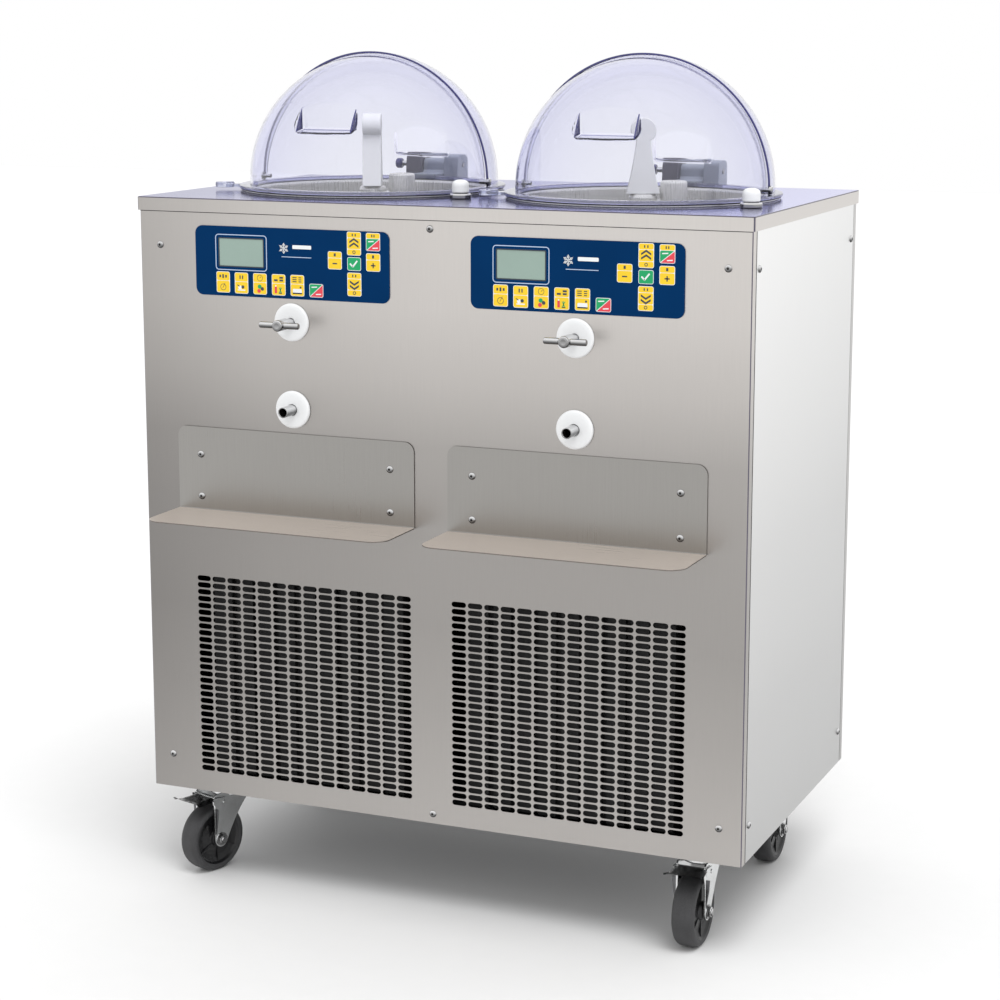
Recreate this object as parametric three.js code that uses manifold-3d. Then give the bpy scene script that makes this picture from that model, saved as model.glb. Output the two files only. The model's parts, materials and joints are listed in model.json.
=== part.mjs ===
// Twin-vat soft serve machine on castors.
// Millimetres, +Z up, X to the operator's right, Y towards the rear, floor at Z = 0.
// Every piece is laid out about the middle of the cabinet; the whole is then shifted along Y
// so that the origin sits under the centre of its outline.
import * as THREE from 'three';
import { mergeVertices } from 'three/addons/utils/BufferGeometryUtils.js';
import Module from 'manifold-3d';

const wasm = await Module();
wasm.setup();

// Clearances and sheet
const GAP = 0.3;
const SHEET = 1.5;
const LONG = 2000;

// Cabinet
const WIDTH = 900;
const DEPTH = 514;
const BOTTOM = 135;
const TOP = 998;
const COVER_LIP = 3;
const COVER_SKIRT = 19;
const RETURN = 15;
const FRONT = -DEPTH / 2;
const REAR = DEPTH / 2;
const PANEL_TOP = TOP - SHEET - GAP;
const SIDES = [['left', -1], ['right', 1]];
const VAT_X = 210;

// Vat, agitator and drive
const VAT_R = 172;
const VAT_WALL = 4;
const VAT_FLOOR = 700;
const VAT_RIM_R = 191;
const VAT_RIM = 3;
const SHAFT_R = 13;
const SHAFT_END = 645;
const HUB_R = 20;
const HUB_TOP = TOP + 5;
const BLADE = { reach: 165, low: 706, high: 975, thick: 8, rail: 24, count: 3 };
const GRIP = { height: 105, foot: 23, waist: 9.5, waistZ: 75, ring: 17.5, bend: 14, thick: 27 };
const GRIP_TURN = { left: 112, right: 22 };
const GEARBOX = { r: 62, low: 585, flangeR: 80, flange: 14 };
const MOTOR = { r: 72, low: 425, chamfer: 8 };
const MOTOR_BOX = { z: 520, width: 60, depth: 50, height: 70 };

// Lids
const DOME_R = 184;
const DOME_WALL = 2.5;
const DOME_CLEAR = 2.6;
const DOME_SIDES = 28;
const DOME_STEPS = 7;
const DOME_Z = TOP + 15;
const FLANGE_R = 195;
const FLANGE_LOW = TOP + GAP + VAT_RIM + GAP;
const FLANGE = 5;
const INNER_R = DOME_R - DOME_WALL - DOME_CLEAR;
// Degrees that the front shell reaches under the rear one
const LID_OVERLAP = 3.5;
const EAR_R = 6;
const EAR_PIN_R = 2.9;
const FRONT_POCKET = { width: 84, wallY: -138, floor: 72, slope: 5 };
const REAR_POCKET = { width: 84, wallY: 168, floor: 26, slope: 2 };
const TAB = { r: 14, at: 216, angle: -155, thick: 8 };
const HINGE_Y = 232;
const HINGE_Z = TOP + 24;
const PIN_R = 4;
const CHEEK = { inner: 20, outer: 45, front: 212, rear: 254, top: TOP + 40, foot: 7 };
const TONGUE = { thick: 8, boss: 10, root: 16 };
const PIN_KNOB = { r: 8, near: 16, far: 26, pin: 20 };
const KNOB = { at: 230, angle: -32, base: 15, cap: 12, height: 26 };

// Front fittings
const PANEL = { x: 210, width: 300, height: 97, low: 863.5, thick: 1.2, corner: 11 };
const DISPLAY = { width: 71, height: 40, x: -77.5, z: 924.5 };
const DISC_R = 26.5;
const DISC_THICK = 5;
const TAP_Z = 831;
const STEM_R = 6;
const BAR = { out: 38, length: 60, r: 4.5, hub: 8, hubLength: 26 };
const SPOUT_Z = 709;
const SPOUT_R = 7.5;
const SPOUT_BORE = 6;
const SPOUT_OUT = 32;
const SHELF = { width: 370, low: 554.5, high: 675, reach: 103, corner: 14, nose: 24 };
const GRILLE = { x: 200, width: 336, low: 170, pitch: 10.13, rows: 29, slot: 6.4 };

// Base, refrigeration and electrics
const PAN_RIM = 22;
const CONDENSER = { width: 300, height: 290, low: 165, front: -245, depth: 50 };
const FINS = { count: 9, gap: 8, depth: 16 };
const FAN = { r: 128, hub: 30, depth: 22, blades: 5, chord: 62, thick: 2.5, pitch: 28, clear: 4 };
const STATOR_LENGTH = 15;
const COMPRESSOR = { r: 82, y: 105, low: BOTTOM + SHEET + GAP, high: 352, skirt: 14 };
const COMPRESSOR_FEET = { width: 190, depth: 60, height: 16 };
const COMPRESSOR_BOX = { z: 90, width: 60, depth: 40, height: 70 };
const CONTROL_BOX = { width: 300, depth: 50, height: 200, y: 226, z: 830 };
const GLAND = { x: -330, z: 200, r: 13, length: 18, bore: 4, nut: 3, nutLength: 6 };

// Castors
const CASTOR_X = 370;
const CASTOR_Y = 180;
const WHEEL_R = 50;
const WHEEL_WIDTH = 33;
const WHEEL_SIDES = 20;
const AXLE_Z = WHEEL_R * Math.cos(Math.PI / WHEEL_SIDES);
const AXLE_R = 5;
const TRAIL = 35;
const LEG_INNER = 18.5;
const LEG = 3;
const PLATE = { width: 95, depth: 78, thick: 3.7 };
const RACE_LOW = 121;
const CROWN = { r: 29, low: 112, high: 120.7, rear: 26 };
const LEG_END = 12;
const NUT = { r: 8, thick: 5, stud: 7 };
const PEDAL = { pinY: -30, pinZ: 106, pinR: 3, inner: 22, thick: 2, reach: 62 };
const PEDAL_CHEEK = { front: 22, rear: 6, low: 5, high: 9 };
const PEDAL_TREAD = { rear: 19, wider: 3, z: 7.5, thick: 2.5 };
const CASTORS = [
  ['front_left', -1, -1, -19], ['front_right', 1, -1, 0],
  ['rear_left', -1, 1, 0], ['rear_right', 1, 1, 0],
];

// Shift that brings the middle of the outline to Y = 0
const FRONT_REACH = FRONT - GAP - SHELF.reach;
const REAR_REACH = REAR + GAP + GLAND.length;
const SHIFT_Y = -(FRONT_REACH + REAR_REACH) / 2;

const radians = (degrees) => degrees * Math.PI / 180;
const group = new THREE.Group();
group.position.y = SHIFT_Y;

// ---- Shapes ----

function box(x, y, z, width, depth, height) {
  return new THREE.BoxGeometry(width, depth, height).translate(x, y, z);
}

// Two values in rising order.
const rising = (a, b) => [Math.min(a, b), Math.max(a, b)];

// A box from its low corner to its high corner.
function block(low, high) {
  const size = high.map((value, i) => value - low[i]);
  const middle = high.map((value, i) => (value + low[i]) / 2);
  return box(...middle, ...size);
}

// A cylinder from one end to the other along 'x', 'y' or 'z', centred on (a, b) across it.
function rod(axis, r, from, to, a, b, sides = 20) {
  const shape = new THREE.CylinderGeometry(r, r, to - from, sides);
  const middle = (from + to) / 2;
  if (axis === 'x') return shape.rotateZ(Math.PI / 2).translate(middle, a, b);
  if (axis === 'y') return shape.translate(a, middle, b);
  return shape.rotateX(Math.PI / 2).translate(a, b, middle);
}

// A turned piece about the Z axis; the profile is a list of [radius, height].
function turned(profile, sides = 20) {
  const points = profile.map(([r, z]) => new THREE.Vector2(r, z));
  return new THREE.LatheGeometry(points, sides).rotateX(Math.PI / 2);
}

// A turned ring whose profile closes on itself.
function ring(profile, sides = 20) {
  return turned([...profile, profile[0]], sides);
}

// A turned ring lying along Y, with its profile heights pointing forwards.
function ringForward(profile, sides = 20) {
  return ring(profile, sides).rotateX(Math.PI / 2);
}

// A plate with rounded corners in the XZ plane; radii are given for the low and the high pair.
function roundedPlate(width, height, lowRadius, highRadius) {
  const w = width / 2;
  const shape = new THREE.Shape();
  shape.moveTo(-w + lowRadius, 0);
  shape.lineTo(w - lowRadius, 0);
  if (lowRadius) shape.absarc(w - lowRadius, lowRadius, lowRadius, -Math.PI / 2, 0);
  shape.lineTo(w, height - highRadius);
  if (highRadius) shape.absarc(w - highRadius, height - highRadius, highRadius, 0, Math.PI / 2);
  shape.lineTo(-w + highRadius, height);
  if (highRadius) shape.absarc(-w + highRadius, height - highRadius, highRadius, Math.PI / 2, Math.PI);
  shape.lineTo(-w, lowRadius);
  if (lowRadius) shape.absarc(-w + lowRadius, lowRadius, lowRadius, Math.PI, Math.PI * 1.5);
  return shape;
}

function slab(shape, depth, curveSegments = 4) {
  return new THREE.ExtrudeGeometry(shape, { depth, bevelEnabled: false, curveSegments });
}

// An upright slab whose face looks forwards: shape X stays X, shape Y becomes Z.
function upright(shape, depth, rearY) {
  return slab(shape, depth).rotateX(Math.PI / 2).translate(0, rearY, 0);
}

// ---- Solids ----

function solid(geometry) {
  const bare = new THREE.BufferGeometry();
  bare.setAttribute('position', geometry.getAttribute('position').clone());
  if (geometry.index) bare.setIndex(geometry.index.clone());
  const welded = mergeVertices(bare, 1e-4);
  const triVerts = Uint32Array.from(welded.index.array);
  const vertProperties = Float32Array.from(welded.getAttribute('position').array);
  return new wasm.Manifold(new wasm.Mesh({ numProp: 3, vertProperties, triVerts }));
}

const join = (...geometries) => geometries.map(solid).reduce((sum, item) => sum.add(item));

function cut(base, ...geometries) {
  return geometries.map(solid).reduce((rest, item) => rest.subtract(item), base);
}

function surface(item) {
  if (item instanceof THREE.BufferGeometry) return item;
  const { vertProperties, triVerts } = item.getMesh();
  const geometry = new THREE.BufferGeometry();
  geometry.setAttribute('position', new THREE.BufferAttribute(vertProperties, 3));
  geometry.setIndex(new THREE.BufferAttribute(triVerts, 1));
  geometry.computeVertexNormals();
  return geometry;
}

function place(name, item, finish, parent = group) {
  const [color, roughness, metalness] = finish;
  const material = new THREE.MeshStandardMaterial({ color, roughness, metalness });
  const piece = new THREE.Mesh(surface(item), material);
  piece.name = name;
  parent.add(piece);
}

function at(x, y = 0, z = 0, turn = 0) {
  const holder = new THREE.Group();
  holder.position.set(x, y, z);
  holder.rotation.z = radians(turn);
  group.add(holder);
  return holder;
}

// Finishes: colour, roughness, metalness
const STAINLESS = [0xc3bfba, 0.35, 1];
const POLISHED = [0xcdccd6, 0.15, 1];
const VAT_STEEL = [0xc4bfb2, 0.3, 1];
const ZINC = [0xd6d8d8, 0.3, 1];
const WHITE_PLASTIC = [0xf2f2f0, 0.4, 0];
const BLACK_PLASTIC = [0x1c1c1e, 0.5, 0];
const GREY_PLASTIC = [0x6c6d78, 0.45, 0];
const TYRE = [0x3a3a3c, 0.7, 0];
const CLEAR = [0xc9cdec, 0.08, 0];
const OVERLAY = [0x0f2c6b, 0.35, 0];
const SCREEN = [0x8c9a96, 0.2, 0];
const MOTOR_PAINT = [0x2d3036, 0.5, 0.4];
const FIN_ALUMINIUM = [0xb9bcbf, 0.45, 1];
const BOX_PAINT = [0xb5b8ba, 0.5, 0.3];

// ---- Cabinet ----

function grilleSlots() {
  return SIDES.flatMap(([, side]) => Array.from({ length: GRILLE.rows }, (_, row) => (
    box(side * GRILLE.x, FRONT, GRILLE.low + row * GRILLE.pitch, GRILLE.width, RETURN, GRILLE.slot)
  )));
}

function frontPanel() {
  const w = WIDTH / 2;
  const inner = FRONT + SHEET;
  const pan = join(
    block([-w, FRONT, BOTTOM], [w, inner, PANEL_TOP]),
    block([-w, FRONT, BOTTOM], [-w + SHEET, FRONT + RETURN, PANEL_TOP]),
    block([w - SHEET, FRONT, BOTTOM], [w, FRONT + RETURN, PANEL_TOP]),
  );
  const holes = SIDES.flatMap(([, side]) => [
    rod('y', STEM_R + GAP, FRONT - RETURN, inner + RETURN, side * VAT_X, TAP_Z, 16),
    rod('y', SPOUT_R + GAP, FRONT - RETURN, inner + RETURN, side * VAT_X, SPOUT_Z, 20),
  ]);
  place('front_panel', cut(pan, ...grilleSlots(), ...holes), STAINLESS);
}

function rearPanel() {
  const w = WIDTH / 2;
  const pan = join(
    block([-w, REAR - SHEET, BOTTOM], [w, REAR, PANEL_TOP]),
    block([-w, REAR - RETURN, BOTTOM], [-w + SHEET, REAR, PANEL_TOP]),
    block([w - SHEET, REAR - RETURN, BOTTOM], [w, REAR, PANEL_TOP]),
  );
  place('rear_panel', pan, STAINLESS);
}

function sidePanels() {
  const reach = DEPTH / 2 - RETURN - GAP;
  for (const [name, side] of SIDES) {
    const x = side * (WIDTH - SHEET) / 2;
    const middle = (BOTTOM + PANEL_TOP) / 2;
    const sheet = box(x, 0, middle, SHEET, reach * 2, PANEL_TOP - BOTTOM);
    place(`${name}_side_panel`, sheet, STAINLESS);
  }
}

function topCover() {
  const w = WIDTH / 2 + COVER_LIP;
  const d = DEPTH / 2 + COVER_LIP;
  const shell = cut(
    solid(block([-w, -d, TOP - COVER_SKIRT], [w, d, TOP])),
    block([-w + SHEET, -d + SHEET, TOP - LONG], [w - SHEET, d - SHEET, TOP - SHEET]),
  );
  const holes = SIDES.map(([, side]) => (
    rod('z', VAT_R + VAT_WALL + 1, TOP - LONG, TOP + LONG, side * VAT_X, 0, 32)
  ));
  place('top_cover', cut(shell, ...holes), POLISHED);
}

function basePan() {
  const w = WIDTH / 2 - SHEET - GAP;
  const d = DEPTH / 2 - SHEET - GAP;
  const floor = BOTTOM + SHEET;
  const pan = cut(
    solid(block([-w, -d, BOTTOM], [w, d, BOTTOM + PAN_RIM])),
    block([-w + SHEET, -d + SHEET, floor], [w - SHEET, d - SHEET, LONG]),
  );
  // The panels' returns pass outside the pan's cut corners.
  const corners = [-1, 1].flatMap((side) => [-1, 1].map((end) => (
    box(side * w, end * d, BOTTOM, 2 * SHEET, 2 * RETURN, LONG)
  )));
  place('base_pan', cut(pan, ...corners), ZINC);
}

// ---- Vats, drives and refrigeration ----

function vats() {
  const outer = VAT_R + VAT_WALL;
  const rimLow = TOP + GAP;
  const rimHigh = rimLow + VAT_RIM;
  const hole = SHAFT_R + 1;
  for (const [name, side] of SIDES) {
    const body = solid(ring([
      [hole, VAT_FLOOR - VAT_WALL], [outer, VAT_FLOOR - VAT_WALL], [outer, rimLow],
      [VAT_RIM_R, rimLow], [VAT_RIM_R, rimHigh], [VAT_R, rimHigh], [VAT_R, VAT_FLOOR],
      [hole, VAT_FLOOR],
    ], 32));
    const outlet = rod('y', SPOUT_R + GAP, -VAT_R - 2 * VAT_WALL, -VAT_R / 2, 0, SPOUT_Z, 20);
    place(`${name}_vat`, cut(body, outlet), VAT_STEEL, at(side * VAT_X));
  }
}

function gearmotors() {
  const high = VAT_FLOOR - VAT_WALL - GAP;
  const flangeLow = high - GEARBOX.flange;
  const socket = SHAFT_R + 1;
  const socketLow = SHAFT_END - 3;
  const profile = [
    [0, MOTOR.low], [MOTOR.r - MOTOR.chamfer, MOTOR.low], [MOTOR.r, MOTOR.low + MOTOR.chamfer],
    [MOTOR.r, GEARBOX.low], [GEARBOX.r, GEARBOX.low], [GEARBOX.r, flangeLow],
    [GEARBOX.flangeR, flangeLow], [GEARBOX.flangeR, high], [socket, high], [socket, socketLow],
    [0, socketLow],
  ];
  const { z, width, depth, height } = MOTOR_BOX;
  for (const [name, side] of SIDES) {
    const body = join(turned(profile), box(0, MOTOR.r, z, width, depth, height));
    place(`${name}_gearmotor`, body, MOTOR_PAINT, at(side * VAT_X));
  }
}

function compressors() {
  const { r, y, low, high, skirt } = COMPRESSOR;
  const shell = [
    [0, low + skirt], [r * 0.75, low + skirt], [r, low + r * 0.4], [r, high - r * 0.73],
    [r * 0.86, high - r * 0.27], [r * 0.5, high - r * 0.05], [0, high],
  ];
  const foot = COMPRESSOR_FEET;
  const cover = COMPRESSOR_BOX;
  for (const [name, side] of SIDES) {
    const feet = box(0, 0, low + foot.height / 2, foot.width, foot.depth, foot.height);
    const terminals = box(0, r, low + cover.z, cover.width, cover.depth, cover.height);
    const body = join(turned(shell), feet, terminals);
    place(`${name}_compressor`, body, MOTOR_PAINT, at(side * VAT_X, y));
  }
}

function condensers() {
  const { width, height, low, front, depth } = CONDENSER;
  const pitch = width / FINS.count;
  const rear = front + depth;
  for (const [name, side] of SIDES) {
    const middle = low + height / 2;
    const core = join(
      block([-width / 2, front, low], [width / 2, rear, low + height]),
      rod('y', FAN.hub - 4, rear - 1, rear + STATOR_LENGTH, 0, middle),
    );
    const grooves = Array.from({ length: FINS.count - 1 }, (_, i) => (
      box(-width / 2 + (i + 1) * pitch, front, middle, FINS.gap, FINS.depth, height + FINS.depth)
    ));
    place(`${name}_condenser`, cut(core, ...grooves), FIN_ALUMINIUM, at(side * GRILLE.x));
  }
}

function fans() {
  const front = CONDENSER.front + CONDENSER.depth + STATOR_LENGTH + GAP;
  const middle = CONDENSER.low + CONDENSER.height / 2;
  const length = FAN.r - FAN.hub + 10;
  for (const [name, side] of SIDES) {
    const blades = Array.from({ length: FAN.blades }, (_, i) => {
      const blade = box(0, 0, (FAN.r + FAN.hub) / 2, FAN.chord, FAN.thick, length);
      return blade.rotateZ(radians(FAN.pitch)).rotateY(i * 2 * Math.PI / FAN.blades);
    });
    const hub = rod('y', FAN.hub, -FAN.depth / 2, FAN.depth / 2, 0, 0);
    const holder = at(side * GRILLE.x, front + FAN.depth / 2 + FAN.clear, middle);
    place(`${name}_fan`, join(hub, ...blades), BLACK_PLASTIC, holder);
  }
}

function controlBox() {
  const { width, depth, height, y, z } = CONTROL_BOX;
  place('control_box', box(0, y, z, width, depth, height), BOX_PAINT);
}

function agitators() {
  const { reach, low, high, thick, rail, count } = BLADE;
  const spine = [
    [0, SHAFT_END], [SHAFT_R, SHAFT_END], [SHAFT_R, VAT_FLOOR + 1], [HUB_R, VAT_FLOOR + 1],
    [HUB_R, HUB_TOP - 3], [HUB_R - 3, HUB_TOP], [0, HUB_TOP],
  ];
  const frame = new THREE.Shape();
  frame.moveTo(HUB_R - 4, low);
  frame.lineTo(reach, low);
  frame.lineTo(reach, high);
  frame.lineTo(reach - rail / 2, high);
  frame.lineTo(reach - rail, low + rail * 2);
  frame.lineTo(HUB_R - 4, low + rail);
  const blades = Array.from({ length: count }, (_, i) => (
    slab(frame, thick).rotateX(Math.PI / 2).translate(0, thick / 2, 0)
      .rotateZ(Math.PI / 2 + i * 2 * Math.PI / count)
  ));
  for (const [name, side] of SIDES) {
    const item = join(turned(spine, 20), ...blades);
    place(`${name}_agitator`, item, VAT_STEEL, at(side * VAT_X));
  }
}

// Lifting grip on the agitator hub: a flared foot, a waist and a ring at the top.
function agitatorGrips() {
  const { height, foot, waist, waistZ, ring: top, bend, thick } = GRIP;
  const footBend = (foot + waist) / 2;
  const neck = waistZ + (height - top - waistZ) / 3;
  const shape = new THREE.Shape();
  shape.moveTo(-foot, 0);
  shape.lineTo(foot, 0);
  shape.quadraticCurveTo(footBend, bend, waist, waistZ);
  shape.quadraticCurveTo(bend, neck, top, height - top);
  shape.absarc(0, height - top, top, 0, Math.PI);
  shape.quadraticCurveTo(-bend, neck, -waist, waistZ);
  shape.quadraticCurveTo(-footBend, bend, -foot, 0);
  for (const [name, side] of SIDES) {
    const item = slab(shape, thick, 5).rotateX(Math.PI / 2).translate(0, thick / 2, 0);
    const holder = at(side * VAT_X, 0, HUB_TOP + GAP, GRIP_TURN[name]);
    place(`${name}_agitator_grip`, item, WHITE_PLASTIC, holder);
  }
}

// ---- Lids ----

// Quarter circle from the dome's widest point up to its pole.
function domeArc(r) {
  return Array.from({ length: DOME_STEPS + 1 }, (_, i) => {
    const angle = (i / DOME_STEPS) * Math.PI / 2;
    return [i < DOME_STEPS ? r * Math.cos(angle) : 0, r * Math.sin(angle)];
  });
}

// A dome shell with a short straight skirt under it, centred on the ear pins.
function domeShell(outer, low) {
  const inner = outer - DOME_WALL;
  const profile = [...domeArc(inner).reverse(), [inner, low], [outer, low], ...domeArc(outer)];
  return solid(turned(profile, DOME_SIDES));
}

// A finger pocket pressed into a shell: the hollow when grow is 0, its walls when grow is a wall.
// The outline is drawn in the plane of Y and Z, seen from the right.
function pocket({ width, wallY, floor, slope }, grow) {
  const facing = Math.sign(wallY);
  const back = wallY - facing * grow;
  const outline = new THREE.Shape();
  outline.moveTo(back, floor + slope - grow);
  outline.lineTo(back, LONG / 10);
  outline.lineTo(facing * LONG / 10, LONG / 10);
  outline.lineTo(facing * LONG / 10, floor - slope - grow);
  const span = width + 2 * grow;
  return slab(outline, span).rotateX(Math.PI / 2).rotateZ(Math.PI / 2).translate(-span / 2, 0, 0);
}

// A dome shell with its finger pocket pressed inwards.
function pressedShell(outer, low, shape) {
  const ball = solid(turned([[0, low], [outer, low], ...domeArc(outer)], DOME_SIDES));
  const walls = solid(pocket(shape, DOME_WALL)).intersect(ball);
  return domeShell(outer, low).add(walls).subtract(solid(pocket(shape, 0)));
}

// A short rod along X at either side of a lid, between two distances from its middle.
function sideRods(r, near, far) {
  return [-1, 1].map((end) => rod('x', r, ...rising(end * near, end * far), 0, 0, 12));
}

function frontLids() {
  const low = FLANGE_LOW + FLANGE + GAP - DOME_Z;
  const behind = box(0, LONG / 2, 0, LONG, LONG, LONG).rotateX(-radians(LID_OVERLAP));
  const quarter = cut(pressedShell(INNER_R, low, FRONT_POCKET), behind);
  const ears = sideRods(EAR_R, INNER_R - DOME_WALL, INNER_R);
  const hole = rod('x', EAR_PIN_R + GAP, -DOME_R, DOME_R, 0, 0, 12);
  const item = cut(quarter.add(join(...ears)), hole);
  for (const [name, side] of SIDES) {
    place(`${name}_lid_front`, item, CLEAR, at(side * VAT_X, 0, DOME_Z));
  }
}

function rearLids() {
  const low = FLANGE_LOW - DOME_Z;
  const ahead = box(0, -LONG / 2, 0, LONG, LONG, LONG);
  const quarter = cut(pressedShell(DOME_R, low, REAR_POCKET), ahead);
  const inner = INNER_R - DOME_WALL;
  const top = low + FLANGE;
  const flange = ring([[inner, low], [FLANGE_R, low], [FLANGE_R, top], [inner, top]], DOME_SIDES);
  const angle = radians(TAB.angle);
  const tab = rod('z', TAB.r, low, low + TAB.thick, TAB.at, 0, 16).rotateZ(angle);
  const web = box(TAB.at - TAB.r, 0, low + FLANGE / 2, TAB.r * 2, TAB.r * 1.6, FLANGE)
    .rotateZ(angle);
  const pins = [
    ...sideRods(EAR_PIN_R, inner - 4, DOME_R),
    ...sideRods(EAR_R - 1, inner - 4, inner - 4 * GAP),
    ...sideRods(EAR_R, DOME_R - 1.5, DOME_R + 3),
  ];
  const pinZ = HINGE_Z - DOME_Z;
  const width = (CHEEK.inner - GAP) * 2;
  const half = width / 2;
  const tongue = join(
    block([-half, FLANGE_R - TONGUE.root, low], [half, HINGE_Y, low + TONGUE.thick]),
    block([-half, HINGE_Y - TONGUE.boss, low], [half, HINGE_Y, pinZ]),
    rod('x', TONGUE.boss, -half, half, HINGE_Y, pinZ, 16),
  );
  const bore = rod('x', PIN_R + GAP, -width, width, HINGE_Y, pinZ, 16);
  const item = cut(quarter.add(join(flange, tab, web, ...pins)).add(tongue), bore);
  for (const [name, side] of SIDES) {
    place(`${name}_lid_rear`, item, CLEAR, at(side * VAT_X, 0, DOME_Z));
  }
}

function hingeBlocks() {
  const { inner, outer, front, rear, top, foot } = CHEEK;
  const low = TOP + GAP;
  const base = block([-outer, front - foot, low], [outer, rear, FLANGE_LOW - 2 * GAP]);
  const cheeks = [-1, 1].map((end) => {
    const [from, to] = rising(end * inner, end * outer);
    return block([from, front, low], [to, rear, top]);
  });
  const pin = rod('x', PIN_R, -outer - PIN_KNOB.pin, outer, HINGE_Y, HINGE_Z, 16);
  const knobEnds = [-outer - PIN_KNOB.far, -outer - PIN_KNOB.near];
  const knob = rod('x', PIN_KNOB.r, ...knobEnds, HINGE_Y, HINGE_Z, 16);
  const item = join(base, ...cheeks, pin, knob);
  for (const [name, side] of SIDES) {
    place(`${name}_hinge_block`, item, GREY_PLASTIC, at(side * VAT_X));
  }
}

function clampKnobs() {
  const angle = radians(KNOB.angle);
  const { base, cap, height } = KNOB;
  const profile = [
    [0, 0], [base, 0], [base, 7], [cap, 10], [cap, height - 8], [cap * 0.8, height - 3],
    [cap * 0.4, height], [0, height],
  ];
  for (const [name, side] of SIDES) {
    const x = side * VAT_X + KNOB.at * Math.cos(angle);
    const y = KNOB.at * Math.sin(angle);
    place(`${name}_clamp_knob`, turned(profile, 16), WHITE_PLASTIC, at(x, y, TOP + GAP));
  }
}

// ---- Front fittings ----

function controlPanels() {
  const { width, height, low, thick, corner, x } = PANEL;
  const window = [DISPLAY.width, DISPLAY.height];
  for (const [name, side] of SIDES) {
    const plate = upright(roundedPlate(width, height, corner, corner), thick, FRONT - GAP)
      .translate(0, 0, low);
    const opening = box(DISPLAY.x, FRONT, DISPLAY.z, window[0], RETURN, window[1]);
    const glassSize = [window[0] - 2 * GAP, thick, window[1] - 2 * GAP];
    const glass = box(DISPLAY.x, FRONT - GAP - thick / 2, DISPLAY.z, ...glassSize);
    const holder = at(side * x);
    place(`${name}_control_panel`, cut(solid(plate), opening), OVERLAY, holder);
    place(`${name}_display`, glass, SCREEN, holder);
  }
}

function shelves() {
  const { width, low, high, reach, corner, nose } = SHELF;
  const back = upright(roundedPlate(width, high - low, 0, corner), SHEET, FRONT - GAP)
    .translate(0, 0, low);
  const tray = slab(roundedPlate(width, reach, 0, nose), SHEET).rotateX(Math.PI)
    .translate(0, FRONT - GAP, low + SHEET);
  for (const [name, side] of SIDES) {
    place(`${name}_shelf`, join(back, tray), STAINLESS, at(side * VAT_X));
  }
}

function discs() {
  const plates = [['tap_disc', TAP_Z, STEM_R], ['spout_disc', SPOUT_Z, SPOUT_R]];
  for (const [name, side] of SIDES) {
    for (const [label, z, r] of plates) {
      const profile = [
        [r + GAP, 0], [DISC_R, 0], [DISC_R, DISC_THICK - 2], [DISC_R - 2, DISC_THICK],
        [r + GAP, DISC_THICK],
      ];
      const item = ringForward(profile, 24);
      place(`${name}_${label}`, item, WHITE_PLASTIC, at(side * VAT_X, FRONT - GAP, z));
    }
  }
}

function tapHandles() {
  const out = FRONT - BAR.out;
  const item = join(
    rod('y', STEM_R, out, FRONT + 30, 0, 0, 16),
    rod('y', BAR.hub, out - BAR.hub, out - BAR.hub + BAR.hubLength, 0, 0, 16),
    rod('x', BAR.r, -BAR.length / 2, BAR.length / 2, out, 0, 16),
  );
  for (const [name, side] of SIDES) {
    place(`${name}_tap_handle`, item, ZINC, at(side * VAT_X, 0, TAP_Z));
  }
}

function spouts() {
  const inner = -Math.sqrt(VAT_R ** 2 - SPOUT_R ** 2) + 1;
  const length = inner - FRONT + SPOUT_OUT;
  const profile = [[SPOUT_BORE, 0], [SPOUT_R, 0], [SPOUT_R, length], [SPOUT_BORE, length]];
  for (const [name, side] of SIDES) {
    const item = ringForward(profile, 20);
    place(`${name}_spout`, item, STAINLESS, at(side * VAT_X, inner, SPOUT_Z));
  }
}

function powerInlet() {
  const { x, z, r, length, bore, nut, nutLength } = GLAND;
  const profile = [
    [bore, 0], [r + nut, 0], [r + nut, nutLength], [r, nutLength], [r, length - nut],
    [r - nut, length], [bore, length],
  ];
  const item = ring(profile, 16).rotateX(-Math.PI / 2);
  place('power_inlet', item, BLACK_PLASTIC, at(x, REAR + GAP, z));
}

// ---- Castors ----

function legOutline() {
  const shape = new THREE.Shape();
  const front = TRAIL + LEG_END;
  shape.moveTo(-CROWN.rear, CROWN.high);
  shape.lineTo(front, CROWN.high);
  shape.lineTo(front, AXLE_Z);
  shape.absarc(TRAIL, AXLE_Z, LEG_END, 0, -Math.PI * 0.8, true);
  shape.quadraticCurveTo(2, 92, -CROWN.rear, CROWN.high);
  return shape;
}

// Legs are drawn in the plane of the trail and the height, then stood on either side of the wheel.
function fork() {
  const legs = [-1, 1].map((end) => {
    const x = end * (LEG_INNER + LEG / 2);
    return slab(legOutline(), LEG, 3).rotateX(Math.PI / 2).rotateZ(-Math.PI / 2)
      .translate(x + LEG / 2, 0, 0);
  });
  const outer = LEG_INNER + LEG;
  const crown = block([-outer, -CROWN.r, CROWN.low], [outer, CROWN.rear, CROWN.high]);
  const axle = rod('x', AXLE_R, -outer - NUT.stud, outer + NUT.stud, -TRAIL, AXLE_Z, 12);
  const nuts = [-1, 1].map((end) => {
    const ends = rising(end * (outer - GAP), end * (outer + NUT.thick));
    return rod('x', NUT.r, ...ends, -TRAIL, AXLE_Z, 6);
  });
  const pinHole = rod('x', PEDAL.pinR + GAP, -WHEEL_R, WHEEL_R, PEDAL.pinY, PEDAL.pinZ, 12);
  return cut(join(crown, ...legs, axle, ...nuts), pinHole);
}

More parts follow.
